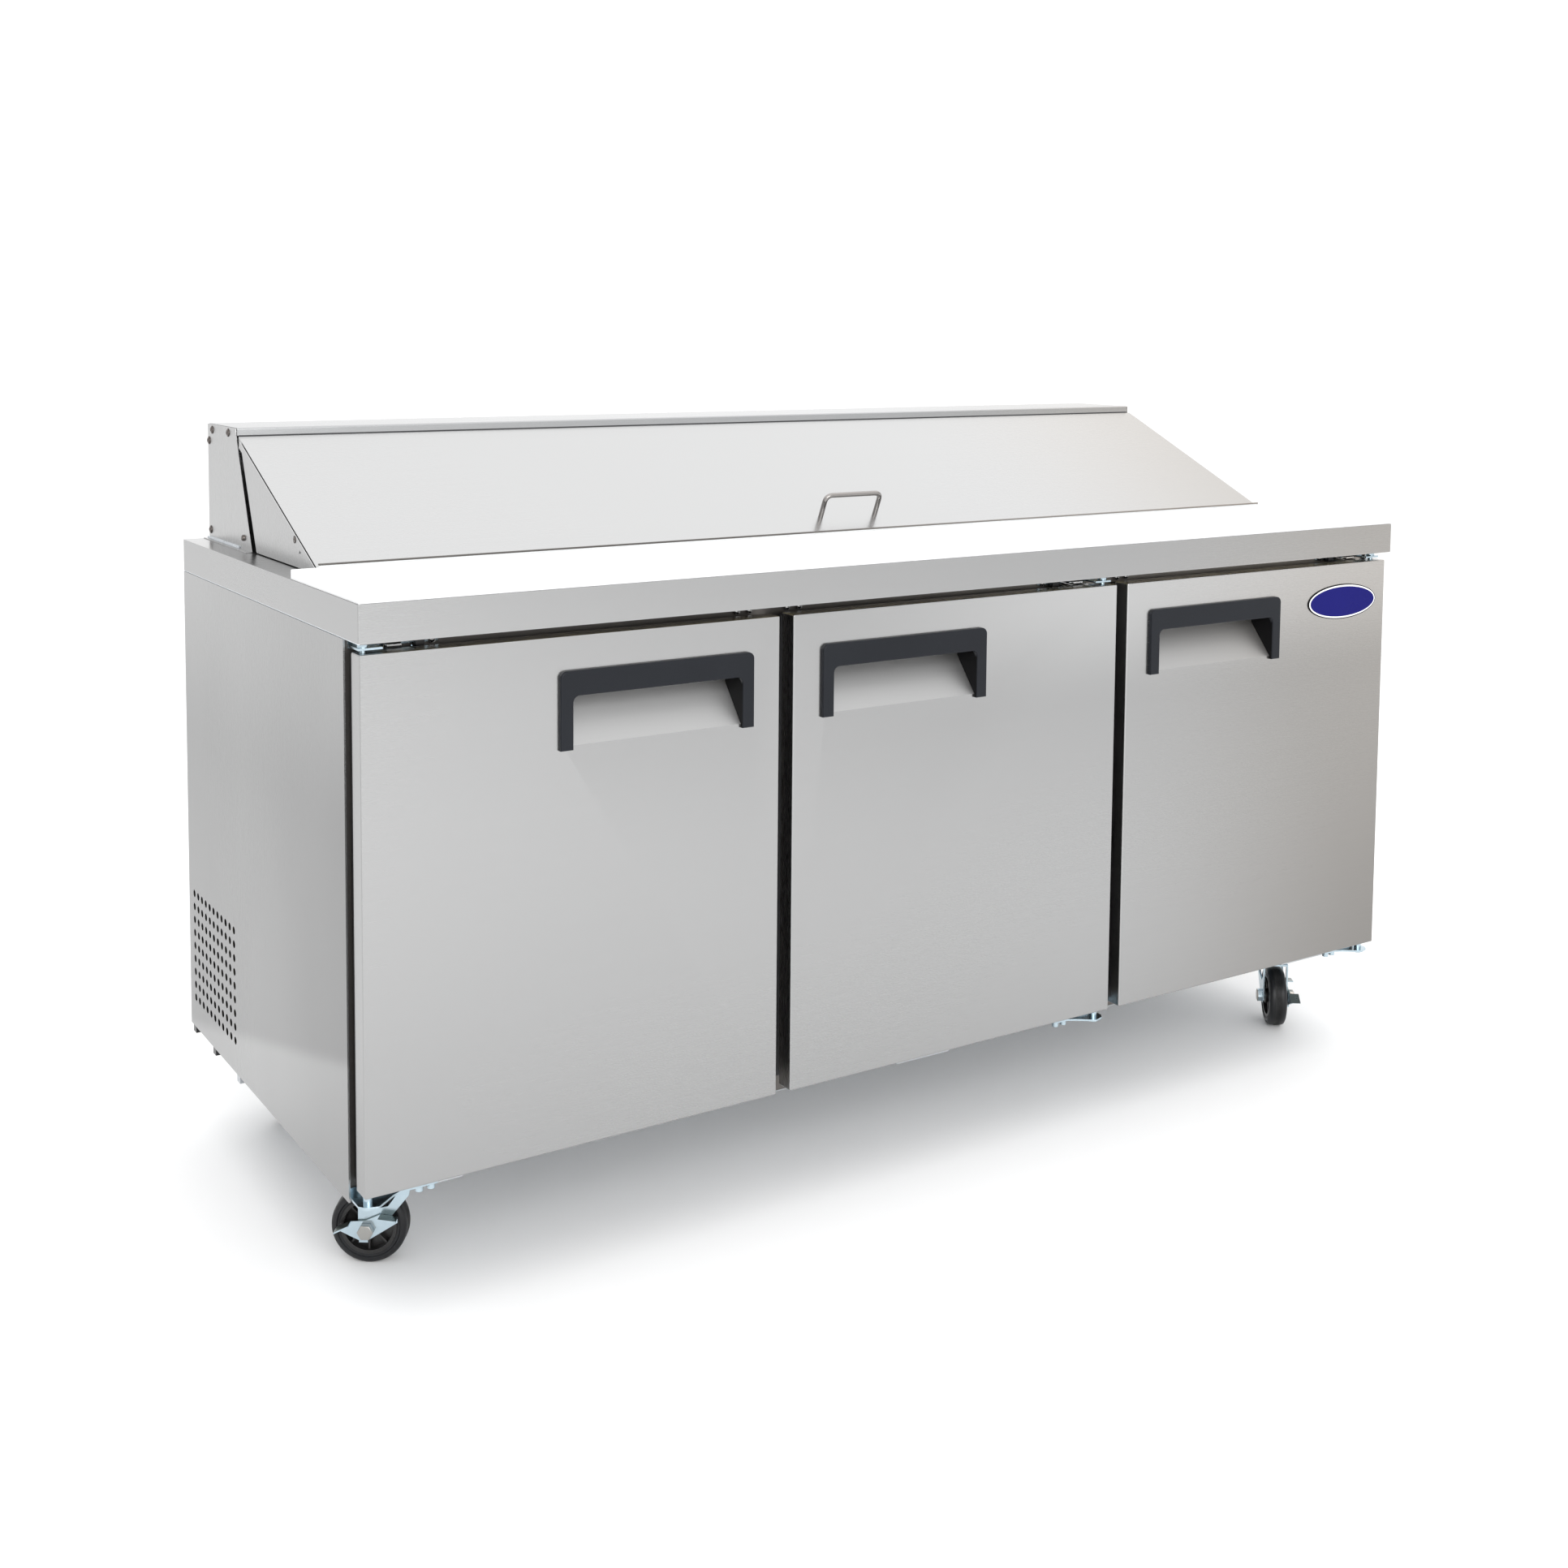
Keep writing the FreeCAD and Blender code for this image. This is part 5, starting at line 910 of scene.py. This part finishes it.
def make_tyres():
    """Rubber tyres with round shoulders and a scuffed tread band."""
    for corner in CASTERS:
        node = "caster_tyre_" + corner
        low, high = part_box(node)
        centre = (low + high) / 2
        axle = joint_of("roll_" + corner)["axis"]
        half = 15.5
        side = [(38, 2.2), (41.6, 1.8), (42.8, 0.2), (43.6, 0.0), (45.6, 0.4), (48.0, 1.5),
                (49.8, 3.4), (50.6, 6), (50.8, 9)]
        profile = [(r, inward - half) for r, inward in side]
        profile += [(r, half - inward) for r, inward in reversed(side)]
        profile.append(profile[0])
        shape = lathe([(r * MM, h * MM) for r, h in profile], centre, axle, steps=72)
        piece("tyre_" + corner, shape, body_of(node), "tyre_rubber", replaces=(node,),
              sharp=35)
        band = lathe([(50.55 * MM, -6 * MM), (50.8 * MM, -5.5 * MM), (50.8 * MM, 5.5 * MM),
                      (50.55 * MM, 6 * MM), (50.3 * MM, 0.0), (50.55 * MM, -6 * MM)],
                     centre, axle, steps=72)
        piece("tread_" + corner, band, body_of(node), "tyre_rubber", M["tread"], (), 50)


def strip_on_cheek():
    """The folded flange along the top of each lid cheek and down its front edge."""
    down = Vector((math.sin(LID_SLOPE), -math.cos(LID_SLOPE)))
    low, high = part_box("lid_shell")
    rear = Vector((behind(598.0), 1069.9 * MM))
    nose = Vector((behind(270.5), 921.2 * MM))
    for side in (-1, 1):
        face = low.x if side < 0 else high.x
        span = sorted((face - side * 0.2 * MM, face + side * 0.75 * MM))
        outline = [rear, nose, nose + Vector((-2.0, -4.0)) * MM,
                   nose + Vector((6.5, -7.0)) * MM, rear + down * 10.0 * MM]
        shape = extruded([tuple(point) for point in outline], 0, span[0], span[1])
        bevel_edges(shape, steep(shape, 30, True), 0.3)
        piece("cheek_flange_" + hand(side), shape, "lid", "stainless")


def coil(name, centre, axis, radius, wire, turns, pitch, body, slot, material, tails):
    """A helical spring about an axis, with straight tails to the two given points."""
    axis = Vector(axis).normalized()
    side = axis.orthogonal().normalized()
    other = axis.cross(side)
    points = []
    steps = 14
    for k in range(turns * steps + 1):
        angle = math.tau * k / steps
        points.append(Vector(centre) + axis * (pitch * k / steps)
                      + (side * math.cos(angle) + other * math.sin(angle)) * radius)
    return tube(name, [tails[0], *points, tails[1]], wire, body, slot, material)


def make_hinge_hardware():
    """Closing springs, arms, stops and bolts over each door.

    The springs and arms reach a little below the door's top.
    """
    for word in DOORS:
        low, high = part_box("door_skin_" + word)
        pivot, inward, top = hinge_side(word)
        gap = top + 3.2 * MM
        face = behind(FRAME_FACE)

        def at(along, ahead, up=0.0):
            return Vector((pivot + inward * along * MM, face - ahead * MM, gap + up * MM))

        start = at(34, 14)
        coil("hinge_spring_" + word, start, (inward, 0, 0), 4.3 * MM, 0.85 * MM, 9,
             2.1 * MM, "cabinet", "zinc", M["bright"], (at(26, 24, -2.5), at(72, 6, 3.0)))
        ends = list(zip(at(74, 10, -5.0), at(86, 1, 4.5)))
        shape = box_shape([min(pair) for pair in ends], [max(pair) for pair in ends])
        bevel_edges(shape, steep(shape, 30, True), 1.0)
        piece("spring_stop_" + word, shape, "cabinet", "zinc", M["black_metal"])
        line = [at(18, 8, -4.2), at(30, 20, -4.4), at(52, 26, -4.4), at(66, 20, -4.2),
                at(70, 8, -4.0)]
        tube("spring_arm_" + word, line, 1.3 * MM, "cabinet", "zinc", bend=8 * MM)
        bolts = bmesh.new()
        screw_head(bolts, at(6, 30, 1.0), (0, 0, 1), 4.0 * MM, 2.6 * MM)
        lathe([(0, 2.2 * MM), (2.4 * MM, 2.0 * MM), (3.6 * MM, 1.0 * MM), (3.8 * MM, 0)],
              at(18, 26, 1.0), (0, 0, 1), bolts, 20)
        free = (low.x + high.x) - pivot
        for along in (0.0, 20.0):
            spare = Vector((free - inward * (along + 8) * MM, face, gap))
            screw_head(bolts, spare, (0, -1, 0), 3.8 * MM, 2.6 * MM, 0.7 * MM)
        piece("hinge_bolts_" + word, bolts, "cabinet", "zinc", M["bright"], (), 40, False)


def make_bay_parts():
    """A copper line between the compressor and the coil, and the drier."""
    can_low, can_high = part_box("compressor")
    coil_low, coil_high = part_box("condenser")
    top = can_high.z - 30 * MM
    middle = (can_low + can_high) / 2
    inlet = Vector((coil_high.x + 4 * MM, coil_high.y - 30 * MM, coil_low.z + 190 * MM))
    level = top - 30 * MM
    beside = can_low.x - 8 * MM
    line = [(can_low.x + 12 * MM, middle.y - 20 * MM, level),
            (beside, middle.y - 20 * MM, level), (beside, inlet.y, level),
            (beside, inlet.y, inlet.z), inlet]
    tube("copper_high", line, 3.0 * MM, "cabinet", "galvanised", M["copper"], bend=10 * MM)
    drier = lathe([(0, -42 * MM), (3.2 * MM, -42 * MM), (4 * MM, -34 * MM),
                   (10 * MM, -26 * MM), (10 * MM, 26 * MM), (4 * MM, 34 * MM),
                   (3.2 * MM, 42 * MM), (0, 42 * MM)],
                  (middle.x + 120 * MM, middle.y + 30 * MM, can_low.z + 60 * MM), (1, 0, 0.2))
    piece("filter_drier", drier, "cabinet", "galvanised", M["copper"])


def make_dark_seams():
    """A seal under the hood's lip, a pale strip along the lid's front with a dark strip above
    it that is a painted shadow line, the hood's feet in a pale painted highlight, and the cheek
    screws.
    """
    low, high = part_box("hood_shell")
    lip = low.y
    seal = box_shape((low.x + 2 * MM, lip - 0.2 * MM, 1075.4 * MM),
                     (high.x - 2 * MM, lip + 1.0 * MM, 1078.2 * MM))
    bevel_edges(seal, steep(seal, 30, True), 0.3)
    piece("hood_lip_seal", seal, "cabinet", "stainless", M["gasket_rubber"])
    low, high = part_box("lid_shell")
    # the second strip is dark, a painted shadow line along the lid's front edge
    for name, look, start, end in (("lid_seal_foot", "liner_plastic", 917.0, 925.6),
                                   ("lid_painted_shadow_line", "painted_shade_steel", 925.6, 928.0)):
        strip = box_shape((low.x + 3 * MM, behind(265.0), start * MM),
                          (high.x - 3 * MM, behind(268.8), end * MM))
        bevel_edges(strip, steep(strip, 30, True), 0.3)
        piece(name, strip, "lid", "stainless", M[look])
    heads = bmesh.new()
    for side in (-1, 1):
        face = low.x if side < 0 else high.x
        at = spot(0, 352.0, 951.5)
        screw_head(heads, (face + side * 0.6 * MM, at.y, at.z), (side, 0, 0), 4.6 * MM,
                   1.3 * MM, 0.7 * MM)
        # painted highlight: the hood's feet get the pale finish for the light line along them
        foot = box_shape(((abs(face) + 0.5 * MM) * side, behind(608.0), 912.1 * MM),
                         ((HALF_WIDE - 37.0) * side * MM, behind(760.0), 915.4 * MM))
        bevel_edges(foot, steep(foot, 30, True), 0.4)
        piece("hood_foot_" + hand(side), foot, "cabinet", "stainless", M["painted_edge_glint"])
    piece("cheek_screws", heads, "lid", "stainless", M["screw_steel"], (), 40, False)


make_hood()
make_dark_seams()
strip_on_cheek()
make_hinge_hardware()
make_bay_parts()
make_liners()
make_badge()
make_pull()
make_screw_heads()
make_tyres()
# --- floor, light and camera -------------------------------------------------------------

def make_floor():
    grid = bmesh.new()
    bmesh.ops.create_grid(grid, x_segments=8, y_segments=8, size=30.0)
    sheet = bpy.data.meshes.new("floor")
    grid.to_mesh(sheet)
    grid.free()
    floor = bpy.data.objects.new("floor", sheet)
    bpy.context.scene.collection.objects.link(floor)
    item = Finish("floor_paper", (0.90, 0.90, 0.90), 0.0, 0.6)
    item.shader.inputs["Specular IOR Level"].default_value = 0.2
    cloud = item.noise(2.0, (1, 1, 1), 3.0)
    item.wire(item.span(cloud, 0.55, 0.65), "Roughness")
    sheet.materials.append(item.material)


WORLD_LOW = 0.98
WORLD_HIGH = 1.32
WHITE_LOBES = (
    # direction, where it starts, where it is full
    ((0.545, 0.839, 0.0), 0.50, 0.88),
    ((-0.30, -0.954, 0.0), 0.35, 0.80),
    ((0.0, 0.0, 1.0), 0.15, 0.60),
)


def make_world():
    """White surroundings that fall off a little to the right front and the left back."""
    world = bpy.data.worlds.new("studio")
    world.use_nodes = True
    tree = world.node_tree

    def add(kind, inputs, **settings):
        item = tree.nodes.new("ShaderNode" + kind)
        for key, value in settings.items():
            setattr(item, key, value)
        for key, value in inputs.items():
            if isinstance(value, bpy.types.NodeSocket):
                tree.links.new(value, item.inputs[key])
            else:
                item.inputs[key].default_value = value
        return item

    way = add("TexCoord", {}).outputs["Generated"]
    lobes = []
    for direction, low, high in WHITE_LOBES:
        dot = add("VectorMath", {0: way, 1: direction}, operation="DOT_PRODUCT")
        lobes.append(add("MapRange", {"Value": dot.outputs["Value"], "From Min": low,
                                      "From Max": high, "To Min": WORLD_LOW,
                                      "To Max": WORLD_HIGH},
                         interpolation_type="SMOOTHSTEP").outputs["Result"])
    strongest = lobes[0]
    for lobe in lobes[1:]:
        strongest = add("Math", {0: strongest, 1: lobe}, operation="MAXIMUM").outputs[0]
    background = tree.nodes["Background"]
    background.inputs["Color"].default_value = (1, 1, 1, 1)
    tree.links.new(strongest, background.inputs["Strength"])
    bpy.context.scene.world = world


def softbox(name, place, target, wide, tall, power):
    data = bpy.data.lights.new(name, "AREA")
    data.shape = "RECTANGLE"
    data.size = wide
    data.size_y = tall
    data.energy = power
    lamp = bpy.data.objects.new(name, data)
    lamp.location = place
    lamp.rotation_euler = (Vector(target) - Vector(place)).to_track_quat("-Z", "Y").to_euler()
    bpy.context.scene.collection.objects.link(lamp)


def make_camera():
    """A view from the front left and a little above, tilted slightly down."""
    yaw, pitch, roll = 0.57260, 0.07879, 0.00806
    ahead = Vector((math.sin(yaw) * math.cos(pitch), math.cos(yaw) * math.cos(pitch),
                    -math.sin(pitch)))
    right = Vector((math.cos(yaw), -math.sin(yaw), 0))
    up = right.cross(ahead)
    leaning_right = right * math.cos(roll) + up * math.sin(roll)
    leaning_up = up * math.cos(roll) - right * math.sin(roll)
    data = bpy.data.cameras.new("camera")
    data.sensor_width = 36.0
    data.lens = 42.93
    data.shift_y = -0.202
    data.clip_end = 200.0
    camera = bpy.data.objects.new("camera", data)
    turn = Matrix((leaning_right, leaning_up, -ahead)).transposed().to_4x4()
    camera.matrix_world = Matrix.Translation((-1.6920, -2.5058, 1.2542)) @ turn
    bpy.context.scene.collection.objects.link(camera)
    bpy.context.scene.camera = camera


make_floor()
make_world()
softbox("softbox_top", (0.5, 0.2, 3.2), (0.5, 0.2, 0.5), 6.0, 5.0, 38.0)
softbox("softbox_front", (-1.2, -3.8, 2.0), (-0.2, -1.0, 0.0), 3.4, 2.0, 70.0)
make_camera()
bpy.context.scene.view_settings.view_transform = "Standard"
bpy.context.scene.view_settings.look = "None"
